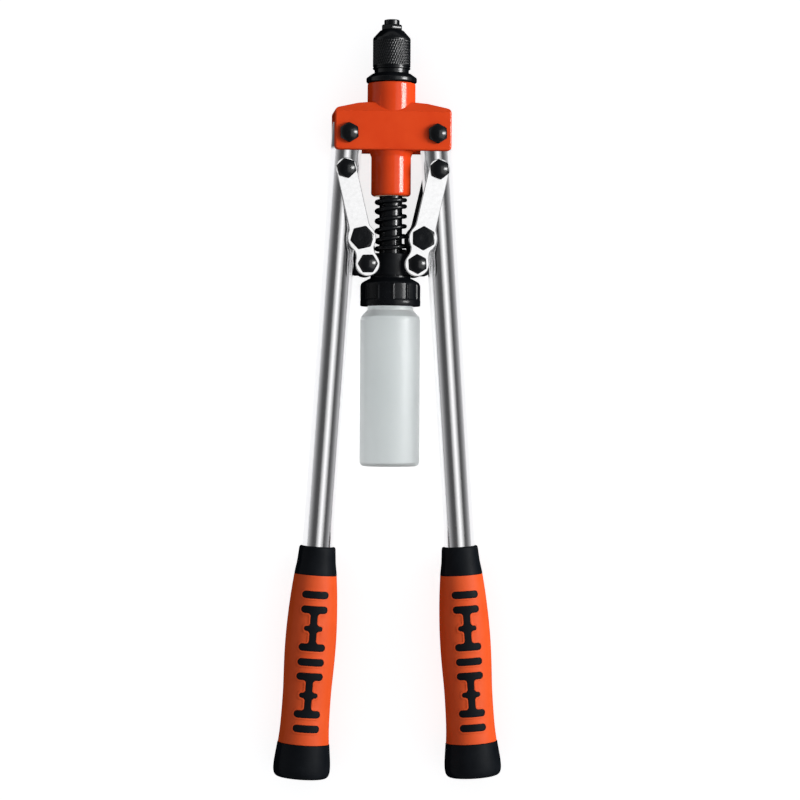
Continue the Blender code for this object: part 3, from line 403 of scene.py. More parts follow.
def swept(name, profile, matrix, steps=64, radius_at=None, closed=None):
    """A profile of (radius, height) turned about Z. radius_at(r, angle, h) may change a point's radius."""
    grid = bmesh.new()
    closed = profile[0][0] > 0 if closed is None else closed
    rings = []
    for r, h in profile:
        if r <= 1e-6:
            rings.append([grid.verts.new((0, 0, h * MM))])
            continue
        ring = []
        for k in range(steps):
            a = 2 * math.pi * k / steps
            rr = radius_at(r, a, h) if radius_at else r
            ring.append(grid.verts.new((rr * math.cos(a) * MM, rr * math.sin(a) * MM, h * MM)))
        rings.append(ring)
    join_rings(grid, list(zip(rings, rings[1:])) + ([(rings[-1], rings[0])] if closed else []), steps)
    return object_of(name, grid, matrix)


def shell(outer, bore, segments=4):
    """One closed profile from an outside and a bore, both top down, with rounded corners."""
    return rounded(list(outer) + list(reversed(bore)), segments)


def slab(name, outlines, low, high, matrix, edge=0.0, sharp=38):
    """A flat piece in XY. edge rounds its rims."""
    curve = bpy.data.curves.new(name, "CURVE")
    curve.dimensions = "2D"
    curve.fill_mode = "BOTH"
    curve.extrude = ((high - low) / 2 - edge) * MM
    curve.bevel_depth = edge * MM
    curve.bevel_resolution = 3
    curve.offset = -edge * MM
    for outline in outlines:
        spline = curve.splines.new("POLY")
        spline.points.add(len(outline) - 1)
        spline.use_cyclic_u = True
        for point, (x, y) in zip(spline.points, outline):
            point.co = (x * MM, y * MM, 0, 1)
    drawn = bpy.data.objects.new(name, curve)
    bpy.context.scene.collection.objects.link(drawn)
    graph = bpy.context.evaluated_depsgraph_get()
    mesh = bpy.data.meshes.new_from_object(drawn.evaluated_get(graph))
    bpy.data.objects.remove(drawn)
    bpy.data.curves.remove(curve)
    grid = bmesh.new()
    grid.from_mesh(mesh)
    bpy.data.meshes.remove(mesh)
    bmesh.ops.remove_doubles(grid, verts=grid.verts, dist=1e-6)
    bmesh.ops.translate(grid, verts=grid.verts, vec=(0, 0, (low + high) / 2 * MM))
    return object_of(name, grid, matrix, sharp)


def circle(x, y, radius, count=40):
    return [(x + radius * math.cos(2 * math.pi * k / count), y + radius * math.sin(2 * math.pi * k / count))
            for k in range(count)]


def combine(obj, other, operation="DIFFERENCE"):
    """Applies a Boolean and removes the other shape."""
    step = obj.modifiers.new("cut", "BOOLEAN")
    step.operation = operation
    step.solver = "EXACT"
    step.object = other
    bake(obj)
    bpy.data.objects.remove(other)
    return obj


def bake(obj):
    bpy.context.view_layer.update()
    graph = bpy.context.evaluated_depsgraph_get()
    mesh = bpy.data.meshes.new_from_object(obj.evaluated_get(graph))
    obj.modifiers.clear()
    obj.data = mesh
    return obj


def finish(obj, material, body, slot, *nodes):
    obj.data.materials.clear()
    obj.data.materials.append(material)
    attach(obj, body)
    if nodes:
        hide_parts(*nodes)
    return obj


# Head casting
half, deep = PIVOT_X + HEAD_END, HEAD_DEEP / 2
low, high, crown = PIVOT_Y - BAR_BELOW, PIVOT_Y + BAR_ABOVE, PIVOT_Y + CROWN_ABOVE
bend, bend_y = NECK_R + 6.0, crown - 0.2 * (crown - high)
front = rounded([(-half, low, 2.2), (half, low, 2.2), (half, high, 3.0), (bend, bend_y, 12.0),
                 (NECK_R - 2, crown, 0), (2 - NECK_R, crown, 0), (-bend, bend_y, 12.0), (-half, high, 3.0)], 8)
head = slab("head_shell", [front], -deep, deep, WORLD, 1.1)
slope = crown - SLOPE_HIGH
end = rounded([(-deep - 1, low - 3), (deep + 1, low - 3), (deep + 1, slope - 1.2), (deep, slope, 2.2),
               (deep - SLOPE_DEEP, crown + 0.2, 3.0), (SLOPE_DEEP - deep, crown + 0.2, 3.0), (-deep, slope, 2.2),
               (-deep - 1, slope - 1.2)], 8)
turn_side = Matrix(((0, 0, 1, 0), (0, 1, 0, 0), (-1, 0, 0, 0), (0, 0, 0, 1)))
combine(head, slab("end_outline", [end], -half - 3, half + 3, WORLD @ turn_side), "INTERSECT")
neck = [(0, NECK_TOP), (NECK_R - 0.9, NECK_TOP), (NECK_R - 0.3, NECK_TOP - 0.25), (NECK_R, NECK_TOP - 0.9),
        (NECK_R, low + 0.8), (0, low + 0.8)]
combine(head, swept("neck", neck, WORLD @ LAY, 96), "UNION")
lower = rounded([(0, low + 3), (SLEEVE_R + 1.35, low + 3), (SLEEVE_R + 1.35, low, 0.4), (SLEEVE_R, low - 3.0, 2.5),
                 (SLEEVE_R, SLEEVE_END, 1.7), (0, SLEEVE_END)], 6, False)
combine(head, swept("lower", lower, WORLD @ LAY, 96), "UNION")
pocket_in = PIVOT_X - math.hypot(TUBE_R, TUBE_ABOVE) - GAP
for sign in (1, -1):
    beyond, roof = sign * (half + 5), PIVOT_Y + POCKET_TOP
    hollow = rounded([(sign * pocket_in, low - 4), (beyond, low - 4), (beyond, roof),
                      (sign * pocket_in, roof, 3.0)], 6)
    combine(head, slab("pocket", [hollow], -PLATE_IN, PLATE_IN, WORLD))
    combine(head, slab("hole", [circle(sign * PIVOT_X, PIVOT_Y, PIN_R + FIT)], -30, 30, WORLD))
step_high, step_low = NECK_TOP - SPIGOT_LEN - GAP, SLEEVE_END + BUSH_LEN + GAP
inside = [(0, NECK_TOP + 2), (SPIGOT_R + FIT, NECK_TOP + 2), (SPIGOT_R + FIT, step_high), (BORE_R, step_high),
          (BORE_R, step_low), (BUSH_R + FIT, step_low), (BUSH_R + FIT, SLEEVE_END - 2), (0, SLEEVE_END - 2)]
combine(head, swept("bore", inside, WORLD @ LAY, 64))
rim = head.modifiers.new("rim", "BEVEL")
rim.width = 0.35 * MM
rim.segments = 2
rim.limit_method = "ANGLE"
rim.angle_limit = math.radians(50)
bake(head)
soften(head, 34, True)
finish(head, paint, "head", "orange_paint", "head_casting")

# Nose: flange, housing with a diamond knurl, nosepiece
flange = shell([(FLANGE_R - 3.3, FLANGE_TOP, 0.6), (FLANGE_R, FLANGE_TOP - 2.4, 0.9),
                (FLANGE_R, FLANGE_LOW + 0.5, 0.9), (FLANGE_R - 0.5, FLANGE_LOW, 0.4)],
               [(SPIGOT_R + FIT, FLANGE_TOP, 0.3), (SPIGOT_R + FIT, FLANGE_LOW, 0.3)])
finish(swept("nose_collar", flange, WORLD @ LAY, 96), turned_black, "head", "black_oxide", "nose_flange")

KNURL_LOW, KNURL_HIGH, KNURLS, KNURL_PITCH, KNURL_DEEP = HOUSE_LOW + 1.9, CONE_LOW - 1.0, 44, 3.2, 0.36


def knurl(r, a, h):
    """Two sets of helical grooves on the housing's wall."""
    if r < HOUSING_R - 0.01 or not KNURL_LOW - 0.01 < h < KNURL_HIGH + 0.01:
        return r
    turn, climb = a * KNURLS / (2 * math.pi), h / KNURL_PITCH
    one, two = (abs(((turn + way * climb) % 1.0) - 0.5) * 2 for way in (1, -1))
    fade = max(0.0, min(1.0, (h - KNURL_LOW) / 0.5, (KNURL_HIGH - h) / 0.5))
    return r - KNURL_DEEP * fade * (0.25 * one ** 2.4 + 0.75 * two ** 2.4)


rows = int((KNURL_HIGH - KNURL_LOW) / 0.2)
knurled = [(HOUSING_R, KNURL_HIGH - (KNURL_HIGH - KNURL_LOW) * k / rows) for k in range(rows + 1)]
housing = ([(CONE_R - 0.2, CONE_TOP), (CONE_R + 0.15, CONE_TOP - 0.25), (HOUSING_R - 0.35, CONE_LOW + 0.55),
            (HOUSING_R - 0.1, CONE_LOW + 0.1), (HOUSING_R - 0.02, CONE_LOW - 0.5)] + knurled
           + [(HOUSING_R - 0.02, KNURL_LOW - 0.25), (HOUSING_R - 0.45, KNURL_LOW - 0.5),
              (HOUSING_R - 0.45, KNURL_LOW - 0.85), (HOUSING_R - 0.02, KNURL_LOW - 1.1),
              (HOUSING_R - 0.02, HOUSE_LOW + 0.35), (HOUSING_R - 0.3, HOUSE_LOW + 0.05),
              (HOUSING_NECK_R + 0.15, HOUSE_LOW), (HOUSING_NECK_R, HOUSE_LOW - 0.1),
              (HOUSING_NECK_R, FLANGE_TOP + GAP), (SPIGOT_R, FLANGE_TOP + 0.1),
              (SPIGOT_R, NECK_TOP - SPIGOT_LEN), (BORE_R, NECK_TOP - SPIGOT_LEN),
              (BORE_R, CONE_TOP - HOUSING_TOP_WALL), (NOSE_SCREW_R + FIT, CONE_TOP - HOUSING_TOP_WALL),
              (NOSE_SCREW_R + FIT, CONE_TOP)])
finish(swept("nose_sleeve", housing, WORLD @ LAY, KNURLS * 8, knurl), turned_black, "head", "black_oxide",
       "nose_housing")


def hex_r(across, a, soft=0.0):
    """The radius of a hexagon at an angle, its corners cut back by soft."""
    reach = across / 2 / math.cos((a + math.pi / 6) % (math.pi / 3) - math.pi / 6)
    return min(reach, across / math.sqrt(3) - soft)


def nose_hex(r, a, h):
    """Makes the widest rows of the nosepiece a hexagon."""
    return hex_r(NOSE_AF + 0.9, a + math.radians(5), 0.12) * (r / 6.0) if r > 5.0 else r


tip = [(3.85, TIP), (4.2, TIP - 0.15), (NOSE_TIP_R, TIP - 0.5), (NOSE_TIP_R, TIP - 0.6),
       (NOSE_TIP_R, HEX_TOP + 0.25), (NOSE_TIP_R, HEX_TOP + 0.15), (NOSE_TIP_R + 0.1, HEX_TOP),
       (5.15, HEX_TOP), (5.6, HEX_TOP - 0.2), (5.95, HEX_TOP - 0.7), (5.95, HEX_LOW + 0.4),
       (5.7, HEX_LOW + 0.05), (5.1, HEX_LOW), (NOSE_SCREW_R, HEX_LOW), (NOSE_SCREW_R, HEX_LOW - NOSE_SCREW_LEN),
       (NOSE_BORE_R, HEX_LOW - NOSE_SCREW_LEN), (NOSE_BORE_R, TIP - 0.35), (NOSE_BORE_R + 0.25, TIP)]
finish(swept("nose_tip", tip, WORLD @ LAY, 96, nose_hex), dark_bolt, "head", "black_oxide", "nosepiece")


def coil(name, radius, wire, low, high, turns, dead, matrix, steps=40, sides=14):
    """A spring on Z with closed end turns, as a tube swept round its helix."""
    low, high = low + wire, high - wire
    close = dead * 2 * wire * 1.08
    total = turns + 2 * dead
    count = int(round(total * steps))
    grid = bmesh.new()
    rings = []
    for k in range(count + 1):
        t = total * k / count
        if t < dead:
            h = low + close * t / dead
        elif t > turns + dead:
            h = high - close * (total - t) / dead
        else:
            h = low + close + (high - low - 2 * close) * (t - dead) / turns
        a = 2 * math.pi * t
        ring = []
        for j in range(sides):
            b = 2 * math.pi * j / sides
            r = radius + wire * math.cos(b)
            ring.append(grid.verts.new((r * math.cos(a) * MM, r * math.sin(a) * MM, (h + wire * math.sin(b)) * MM)))
        rings.append(ring)
    for one, two in zip(rings, rings[1:]):
        for j in range(sides):
            n = (j + 1) % sides
            grid.faces.new((one[j], one[n], two[n], two[j]))
    grid.faces.new(rings[0])
    grid.faces.new(rings[-1])
    return object_of(name, grid, matrix, 60)


# Return spring, jaw spring and pull rod
spring = coil("spring_coil", SPRING_R + 0.05, WIRE_R + 0.22, HUB_TOP + GAP, SLEEVE_END - GAP,
              SPRING_TURNS, SPRING_CLOSED, WORLD @ LAY)
finish(spring, dark_bolt, "head", "black_oxide", "return_spring")
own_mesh(spring)

spigot_top, pusher_low = CASE_LOW + 8.82, CASE_LOW + 18.7
spring = coil("pusher_coil", JAW_COIL_R, JAW_WIRE_R, spigot_top + GAP, pusher_low - GAP,
              JAW_COILS, SPRING_CLOSED, WORLD @ LAY)
finish(spring, steel, "crosshead", "bright_steel", "jaw_spring")
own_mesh(spring)

pull = [(ROD_SPIGOT_R - 0.4, spigot_top), (ROD_SPIGOT_R, spigot_top - 0.4), (ROD_SPIGOT_R, CASE_LOW - GAP),
        (ROD_R - 0.1, CASE_LOW - GAP), (ROD_R, CASE_LOW - 0.6), (ROD_R, CAP_ROOF), (ROD_BORE_R, CAP_ROOF),
        (ROD_BORE_R, spigot_top)]
finish(swept("pull_tube", pull, WORLD @ LAY, 64), dark_bolt, "crosshead", "black_oxide", "pull_rod")


# Crosshead: an ear on each side, a hub for the rod, and a lengthened hole for each link's bolt
def beside_tube(y):
    """X of the closed tube's inner side at a station, less its running gap."""
    return PIVOT_X + (PIVOT_Y - y) * math.tan(LEAN) - TUBE_R / math.cos(LEAN) - GAP


foot, ear = beside_tube(CROSS_LOW), beside_tube(EAR_TOP)
BLOCK_X = 9.7
yoke = rounded([(-foot, CROSS_LOW, 1.2), (foot, CROSS_LOW, 1.2), (ear, EAR_TOP, 6.0), (BLOCK_X, EAR_TOP, 1.0),
                (BLOCK_X, HUB_TOP, 0.4), (-BLOCK_X, HUB_TOP, 0.4), (-BLOCK_X, EAR_TOP, 1.0),
                (-ear, EAR_TOP, 6.0)], 8)
wide = TIE_R + GAP + SLOT_SIDE
tall = wide + SLOT_UP
slots = [rounded([(s * CROSS_X - wide, PIN_Y + tall, wide), (s * CROSS_X + wide, PIN_Y + tall, wide),
                  (s * CROSS_X + wide, PIN_Y - tall, wide), (s * CROSS_X - wide, PIN_Y - tall, wide)], 8)
         for s in (1, -1)]
cross = slab("crosshead_yoke", [yoke] + slots, -TUBE_R + GAP, TUBE_R - GAP, WORLD, 0.5)
hub = rounded([(0, HUB_TOP), (HUB_R, HUB_TOP, 0.5), (HUB_R, CROSS_LOW), (0, CROSS_LOW)], 4, False)
combine(cross, swept("hub", hub, WORLD @ LAY, 80), "UNION")
bore = [(0, HUB_TOP + 3), (ROD_R + FIT, HUB_TOP + 3), (ROD_R + FIT, CROSS_LOW - 3), (0, CROSS_LOW - 3)]
combine(cross, swept("hub_bore", bore, WORLD @ LAY, 64))
soften(cross, 34, True)
finish(cross, cast_black, "crosshead", "black_oxide", "crosshead")


# Ribbed cap and bottle
def ribs(r, a, h):
    """Narrow ribs on the cap's wall, one of them in the middle of the front."""
    if abs(r - CAP_R) > 0.05 or h < CAP_LOW + CAP_RIM_H - 0.2:
        return r
    arc = abs((a / (2 * math.pi) * CAP_RIBS + 0.5) % 1.0 - 0.5) / CAP_RIBS * 2 * math.pi * CAP_R
    ends = min(1.0, max(0.0, (CAP_BODY - 0.5 - h) / 1.5))
    return r + 0.6 * math.cos(min(1.0, arc / 1.15) * math.pi / 2) ** 2 * math.sqrt(ends)


top, foot = CAP_BODY - 0.9, CAP_LOW + CAP_RIM_H + 0.3
wall = [(CAP_R, top - (top - foot) * k / 16) for k in range(17)]
cap = ([(CAP_NECK_R - 0.2, CAP_TOP), (CAP_NECK_R, CAP_TOP - 0.2), (CAP_NECK_R, CAP_TOP - 1.1),
        (CAP_NECK_R + 0.2, CAP_TOP - 1.35), (CAP_R - 1.5, CAP_BODY + 0.75), (CAP_R - 0.6, CAP_BODY + 0.2),
        (CAP_R - 0.15, CAP_BODY - 0.3)] + wall
       + [(CAP_RIM_R - 0.2, CAP_LOW + CAP_RIM_H), (CAP_RIM_R, CAP_LOW + CAP_RIM_H - 0.3), (CAP_RIM_R, CAP_LOW + 0.5),
          (CAP_RIM_R - 0.2, CAP_LOW + 0.15), (CAP_RIM_R - 0.6, CAP_LOW), (NECK_OUT + GAP, CAP_LOW),
          (NECK_OUT + GAP, CAP_ROOF), (ROD_R + FIT, CAP_ROOF), (ROD_R + FIT, CAP_TOP)])
finish(swept("bottle_collar", cap, WORLD @ LAY, CAP_RIBS * 48, ribs), moulded, "crosshead", "black_plastic",
       "bottle_cap")

outer = rounded([(NECK_OUT, BOTTLE_TOP, 0.4), (NECK_OUT, SHOULDER_TOP, 0.5), (16.5, SHOULDER_LOW + 1.0, 1.8),
                 (BOTTLE_R, SHOULDER_LOW - 1.2, 2.0), (BOTTLE_R, FOOT, BOTTLE_FOOT_R),
                 (11.5, FOOT, 1.5), (8.0, FOOT + 1.4, 3.0), (0, FOOT + 1.7)], 8, False)[1:]
thin = BOTTLE_WALL
inner = rounded([(0, FOOT + 1.7 + thin), (8.0, FOOT + 1.4 + thin, 3.0), (11.0, FOOT + thin, 1.5),
                 (BOTTLE_R - thin, FOOT + thin, 2.0), (BOTTLE_R - thin, SHOULDER_LOW - 1.5, 1.5),
                 (15.5, SHOULDER_LOW + 0.2, 1.2), (12.1, SHOULDER_TOP - 0.9, 0.4),
                 (NECK_OUT - thin, SHOULDER_TOP - 0.5, 0.3), (NECK_OUT - thin, BOTTLE_TOP)], 6, False)
bottle = [(NECK_OUT - 0.4, BOTTLE_TOP)] + outer + inner
finish(swept("spent_bottle", bottle, WORLD @ LAY, 96, closed=False), milky, "bottle", "clear_plastic", "bottle")


# Fasteners
def hex_head(name, matrix, seat, across, height, shank, tail, domed, turn, thread=3.4):
    """A hex bolt on Z: washer face, flats with a rounded crown, shank, and a threaded end."""
    wide = across / math.sqrt(3)
    rise = 2.45 if domed else 0.2

    def crown(r):
        return seat + height - rise * (r / wide) ** 2 - max(0.0, r - across * 0.47) * (0.45 if domed else 0.55)

    def vertex(r, a, h):
        return grid.verts.new((r * math.cos(a + turn) * MM, r * math.sin(a + turn) * MM, h * MM))

    grid = bmesh.new()
    steps = 72
    rings = [[grid.verts.new((0, 0, (seat + height - (0.0 if domed else DIMPLE_DEEP)) * MM))]]
    radii = [0.1, 0.22, 0.3, 0.36, 0.42, 0.5, 0.6, 0.7, 0.78, 0.85, 0.91, 0.96, 1.0]
    for share in radii:
        ring = []
        for k in range(steps):
            a = 2 * math.pi * k / steps
            edge = hex_r(across, a, 0.1)
            r = edge * share if share > 0.55 else across / 2 * share
            dip = 0.0 if domed else DIMPLE_DEEP * max(0.0, 1 - (r / DIMPLE_R) ** 2)
            ring.append(vertex(r, a, crown(r) - dip))
        rings.append(ring)
    lower = [(seat + 0.55, 1.0, 0), (seat + 0.3, 0.985, 0), (seat + 0.3, 0.0, across * 0.475),
             (seat, 0.0, across * 0.475), (seat, 0.0, shank)]
    for h, share, r0 in lower:
        ring = []
        for k in range(steps):
            a = 2 * math.pi * k / steps
            r = hex_r(across, a, 0.1) * share if share else r0
            ring.append(vertex(r, a, h))
        rings.append(ring)
    count = int(thread / 0.14)
    for k in range(count + 2):
        h = tail + thread - thread * k / (count + 1)
        ring = []
        for j in range(steps):
            a = 2 * math.pi * j / steps
            phase = (h / THREAD_PITCH + a / (2 * math.pi)) % 1.0
            cut = 0.42 * (1 - abs(phase - 0.5) * 2)
            inset = max(0.0, 0.5 - (h - tail))
            r = shank - max(cut * min(1.0, (tail + thread - h) / 0.5), inset)
            ring.append(vertex(r, a, h))
        rings.append(ring)
    rings.append([grid.verts.new((0, 0, tail * MM))])
    join_rings(grid, zip(rings, rings[1:]), steps)
    return object_of(name, grid, matrix, 32)


def hex_nut(name, matrix, seat, across, shank, turn):
    """A hex nut below its seat, chamfered both ways, with a collar ring round its bore."""
    def side(r, a, h):
        edge = hex_r(across, a, 0.1)
        return edge * (r - 100) if r > 50 else r

    # A radius over 100 is a share of the hexagon's own radius, with 100 added
    bore, top, under = shank + FIT, -seat, -seat - NUT_H
    collar = across * 0.40
    ring = rounded([(collar, under + 0.9), (collar, under, 0.5), (bore + 0.25, under, 0.2),
                    (bore, under + 0.3)], 4, False)
    profile = [(bore, top), (across * 0.47, top), (100.985, top - 0.25), (101.0, top - 0.5), (101.0, under + 1.55),
               (100.975, under + 1.15), (100.90, under + 0.95)] + ring
    return swept(name, profile, matrix @ Matrix.Rotation(turn, 4, "Z"), 72, side)


def fasten(side, kind, matrix, seat, tail, shank, across, height, domed, turn, body):
    made = hex_head(f"{side}_{kind}_screw", matrix, seat, across, height, shank, tail, domed, turn)
    finish(made, dark_bolt, body, "black_oxide", f"{side}_{kind}_bolt")
    made = hex_nut(f"{side}_{kind}_locknut", matrix, -tail - BOLT_OUT - NUT_H, across, shank, turn * 1.7 + 0.3)
    finish(made, oxide, body, "black_oxide", f"{side}_{kind}_nut")


# Links
def link_outline(more=0.0):
    """A plate with three eyes and two waists, its straps and its middle eye wider by more."""
    def eye(y, middle, radius):
        return math.sqrt(max(radius * radius - (y - middle) ** 2, 0.0))

    def blend(a, b, soft=0.9):
        return (a + b + math.sqrt((a - b) ** 2 + soft * soft)) / 2 - soft * 0.12

    def half(y):
        t = min(1.0, max(0.0, (-y - TIE_DOWN + 3) / 6))
        strap = LINK_STRAP * (1 - t) + LINK_NECK * t + more
        wide = blend(strap, eye(y, -TIE_DOWN, LINK_BOSS_R + more))
        return max(blend(wide, eye(y, -LINK_LEN, LINK_END_R)), eye(y, 0, LINK_TOP_R))

    first, last = -2.6, -LINK_LEN + 3.4
    right = [(half(first + (last - first) * k / 70), first + (last - first) * k / 70) for k in range(71)]
    top = [(LINK_TOP_R * math.cos(a), LINK_TOP_R * math.sin(a))
           for a in (math.radians(198 - 216 * k / 30) for k in range(31))]
    foot = [(LINK_END_R * math.cos(a), LINK_END_R * math.sin(a) - LINK_LEN)
            for a in (math.radians(24 - 228 * k / 30) for k in range(31))]
    return top + right + foot + [(-x, y) for x, y in reversed(right)]


# Grips: inlaid pads on a black core, and an orange sleeve with a bead round each window
def smooth_rows(points, each=4):
    """More rows between (radius, station) points, on a smooth curve."""
    rows = []
    for i in range(len(points) - 1):
        p0, p1, p2, p3 = points[max(i - 1, 0)], points[i], points[i + 1], points[min(i + 2, len(points) - 1)]
        for k in range(each):
            t = k / each
            rows.append(tuple(0.5 * (2 * b + (c - a) * t + (2 * a - 5 * b + 4 * c - d) * t * t
                                     + (3 * b - a - 3 * c + d) * t ** 3)
                              for a, b, c, d in zip(p0, p1, p2, p3)))
    return rows + [points[-1]]


def pad_outlines(shrink):
    """Outlines of the bars and of the stemmed pads in the handle's frame, drawn in by shrink."""
    drawn = []
    half, high, round_r, inner_r = BAR_W / 2 - shrink, BAR_H / 2 - shrink, 1.95 - shrink, 1.7 + shrink
    for s in BARS:
        y = s - HANDLE_LEN
        drawn.append(rounded([(half, y + high, round_r), (half, y - high, round_r), (-half, y - high, round_r),
                              (-half, y + high, round_r)], 8))
    for s in STEMS:
        y = s - HANDLE_LEN
        end, inner = STEM_LEN / 2 - shrink, STEM_LEN / 2 - BAR_H + shrink
        stem, bump, rise = 2.0 - shrink, 5.2 - shrink, 1.45 - shrink
        side = [(half, end, round_r), (half, inner, round_r), (stem, inner, inner_r), (stem, rise, inner_r),
                (bump, rise, rise), (bump, -rise, rise), (stem, -rise, inner_r), (stem, -inner, inner_r),
                (half, -inner, round_r), (half, -end, round_r)]
        ring = side + [(-x, dy, r) for x, dy, r in reversed(side)]
        drawn.append(rounded([(x, y + dy, r) for x, dy, r in ring], 6))
    return drawn


def fillet(obj, width, segments):
    """Rounds the edges that turn by more than 50 degrees."""
    soft = obj.modifiers.new("soft", "BEVEL")
    soft.width, soft.segments = width * MM, segments
    soft.limit_method, soft.angle_limit = "ANGLE", math.radians(50)
    bake(obj)


def skin(rise, inside):
    """The sleeve's profile, raised, down to a radius inside it."""
    rows = [(r + rise, s - HANDLE_LEN) for r, s in reversed(smooth_rows(SLEEVE))]
    return rows + [(inside, rows[-1][1]), (inside, rows[0][1])]


def grip(side, handle):
    rows = [(r, s - HANDLE_LEN) for r, s in reversed(smooth_rows(COLLAR, 2))]
    rows += [(GRIP_CORE_R, COLLAR[0][1] - HANDLE_LEN), (GRIP_CORE_R, END[-1][1] - HANDLE_LEN)]
    rows += [(r, s - HANDLE_LEN) for r, s in reversed(smooth_rows(END, 2))]
    core = swept(f"{side}_grip_body", [(0, rows[0][1])] + rows + [(0, rows[-1][1])], handle @ LAY, 128)
    pads = slab("pads", pad_outlines(0.15), 2, 40, handle)
    combine(pads, swept("pad_ring", skin(0.18, 10.5), handle @ LAY, 128), "INTERSECT")
    fillet(pads, 0.35, 3)
    combine(core, pads, "UNION")
    socket = [(0, COLLAR[-1][1] + 2 - HANDLE_LEN), (TUBE_R + FIT, COLLAR[-1][1] + 2 - HANDLE_LEN),
              (TUBE_R + FIT, TUBE_END - GAP - HANDLE_LEN), (0, TUBE_END - GAP - HANDLE_LEN)]
    combine(core, swept("socket", socket, handle @ LAY, 96))
    soften(core, 40)
    finish(core, grip_black, f"{side}_handle", "black_rubber", f"{side}_grip_core")

    sleeve = swept(f"{side}_grip_skin", skin(0.0, GRIP_CORE_R + FIT), handle @ LAY, 128)
    beads = slab("beads", pad_outlines(-0.95), 2, 40, handle)
    combine(beads, swept("bead_ring", skin(0.22, 11.9), handle @ LAY, 128), "INTERSECT")
    combine(sleeve, beads, "UNION")
    combine(sleeve, slab("windows", pad_outlines(-0.05), 2, 40, handle))
    fillet(sleeve, 0.24, 2)
    soften(sleeve, 40)
    finish(sleeve, grip_orange, f"{side}_handle", "orange_grip", f"{side}_grip_sleeve")


for side, sign in (("left", -1), ("right", 1)):
    handle = at(sign * PIVOT_X, PIVOT_Y, 0, sign * LEAN)
    link = at(sign * LINK_X, LINK_Y, 0, -sign * TILT)
    pipe = [(TUBE_R, TUBE_ABOVE - 0.2), (TUBE_R - 0.2, TUBE_ABOVE), (TUBE_R - 1.4, TUBE_ABOVE),
            (TUBE_R - 1.5, TUBE_ABOVE - 0.1), (TUBE_R - 1.5, TUBE_END - HANDLE_LEN), (TUBE_R, TUBE_END - HANDLE_LEN)]
    finish(swept(f"{side}_pipe", pipe, handle @ LAY, 96), chrome, f"{side}_handle", "chrome_tube", f"{side}_tube")
    grip(side, handle)

    # The rear plates take the black oxide finish in place of their plating: painted shade for the shadow they lie in
    # behind the front plates
    for face, near, far, look, slot in (("front", PLATE_IN, PLATE_OUT, plated, "plated_steel"),
                                        ("rear", -PLATE_OUT, -PLATE_IN, oxide, "black_oxide")):
        holes = [circle(0, 0, PIN_R + GAP), circle(0, -TIE_DOWN, TIE_R + FIT), circle(0, -LINK_LEN, TIE_R + FIT)]
        outline = link_outline(REAR_WIDER if face == "rear" else 0.0)
        plate = slab(f"{side}_{face}_plate", [outline] + holes, near, far, link, 0.35)
        soften(plate, 60, True)
        finish(plate, look, f"{side}_link", slot, f"{side}_link_{face}")

    tail = -PLATE_OUT - GAP - NUT_H - BOLT_OUT
    fasten(side, "pivot", at(sign * PIVOT_X, PIVOT_Y), HEAD_DEEP / 2, -DEPTH, PIN_R, HEX_AF, HEX_H, True,
           math.radians(2.5), "head")
    fasten(side, "link", handle @ Matrix.Translation((0, -LINK_DOWN * MM, 0)), PLATE_OUT, tail, PIN_R,
           HEX_AF, HEX_H, True, math.radians(11.5 - 6.5 * sign), f"{side}_handle")
    fasten(side, "tie", link @ Matrix.Translation((0, -TIE_DOWN * MM, 0)), PLATE_OUT, tail, TIE_R,
           TIE_AF, TIE_H, False, math.radians(21.5 - 9 * sign), f"{side}_link")
    fasten(side, "cross", link @ Matrix.Translation((0, -LINK_LEN * MM, 0)), PLATE_OUT, tail, TIE_R,
           HEX_AF, HEX_H, True, math.radians(17 - sign), f"{side}_link")

# Solids that keep their own shape and get the scene's materials
for names, material in ((("jaw_1", "jaw_2", "jaw_3", "jaw_pusher", "jaw_case"), steel), (("guide_bush",), bronze),
                        (("bottle_seal",), gasket), (("left_insert", "right_insert"), moulded)):
    for name in names:
        node = frame["nodes"][name]
        for item in node.material_slots:
            item.material = material

# Stage: a pale floor, a world seen white, and lamps above the tool
floor_mesh = bpy.data.meshes.new("floor")
grid = bmesh.new()
bmesh.ops.create_grid(grid, x_segments=1, y_segments=1, size=6.0)
grid.to_mesh(floor_mesh)
grid.free()
floor = bpy.data.objects.new("floor", floor_mesh)
floor.location = (0, 0, -0.0005)
bpy.context.scene.collection.objects.link(floor)
ground = new_material("floor_paper", (0.86, 0.86, 0.86), 0.9)
# The paper's glow is seen by camera, mirror and transmission rays only
tree, shader = ground.node_tree, ground.node_tree.nodes["Principled BSDF"]
path = tree.nodes.new("ShaderNodeLightPath")
seen = maths(tree, "MAXIMUM", path.outputs["Is Camera Ray"], path.outputs["Is Glossy Ray"])
seen = maths(tree, "MAXIMUM", seen, path.outputs["Is Transmission Ray"])
shader.inputs["Emission Color"].default_value = (1, 1, 1, 1)
tree.links.new(maths(tree, "MULTIPLY", seen, 0.79), shader.inputs["Emission Strength"])
floor_mesh.materials.append(ground)

world = bpy.data.worlds.new("studio")
bpy.context.scene.world = world
world.use_nodes = True
tree = world.node_tree
nodes, links = tree.nodes, tree.links
nodes.clear()
out = nodes.new("ShaderNodeOutputWorld")
plain = nodes.new("ShaderNodeBackground")
plain.inputs["Color"].default_value = (0.95, 0.97, 1.0, 1)
plain.inputs["Strength"].default_value = 0.31
white = nodes.new("ShaderNodeBackground")
white.inputs["Strength"].default_value = 1.0
cards = nodes.new("ShaderNodeBackground")
path = nodes.new("ShaderNodeLightPath")
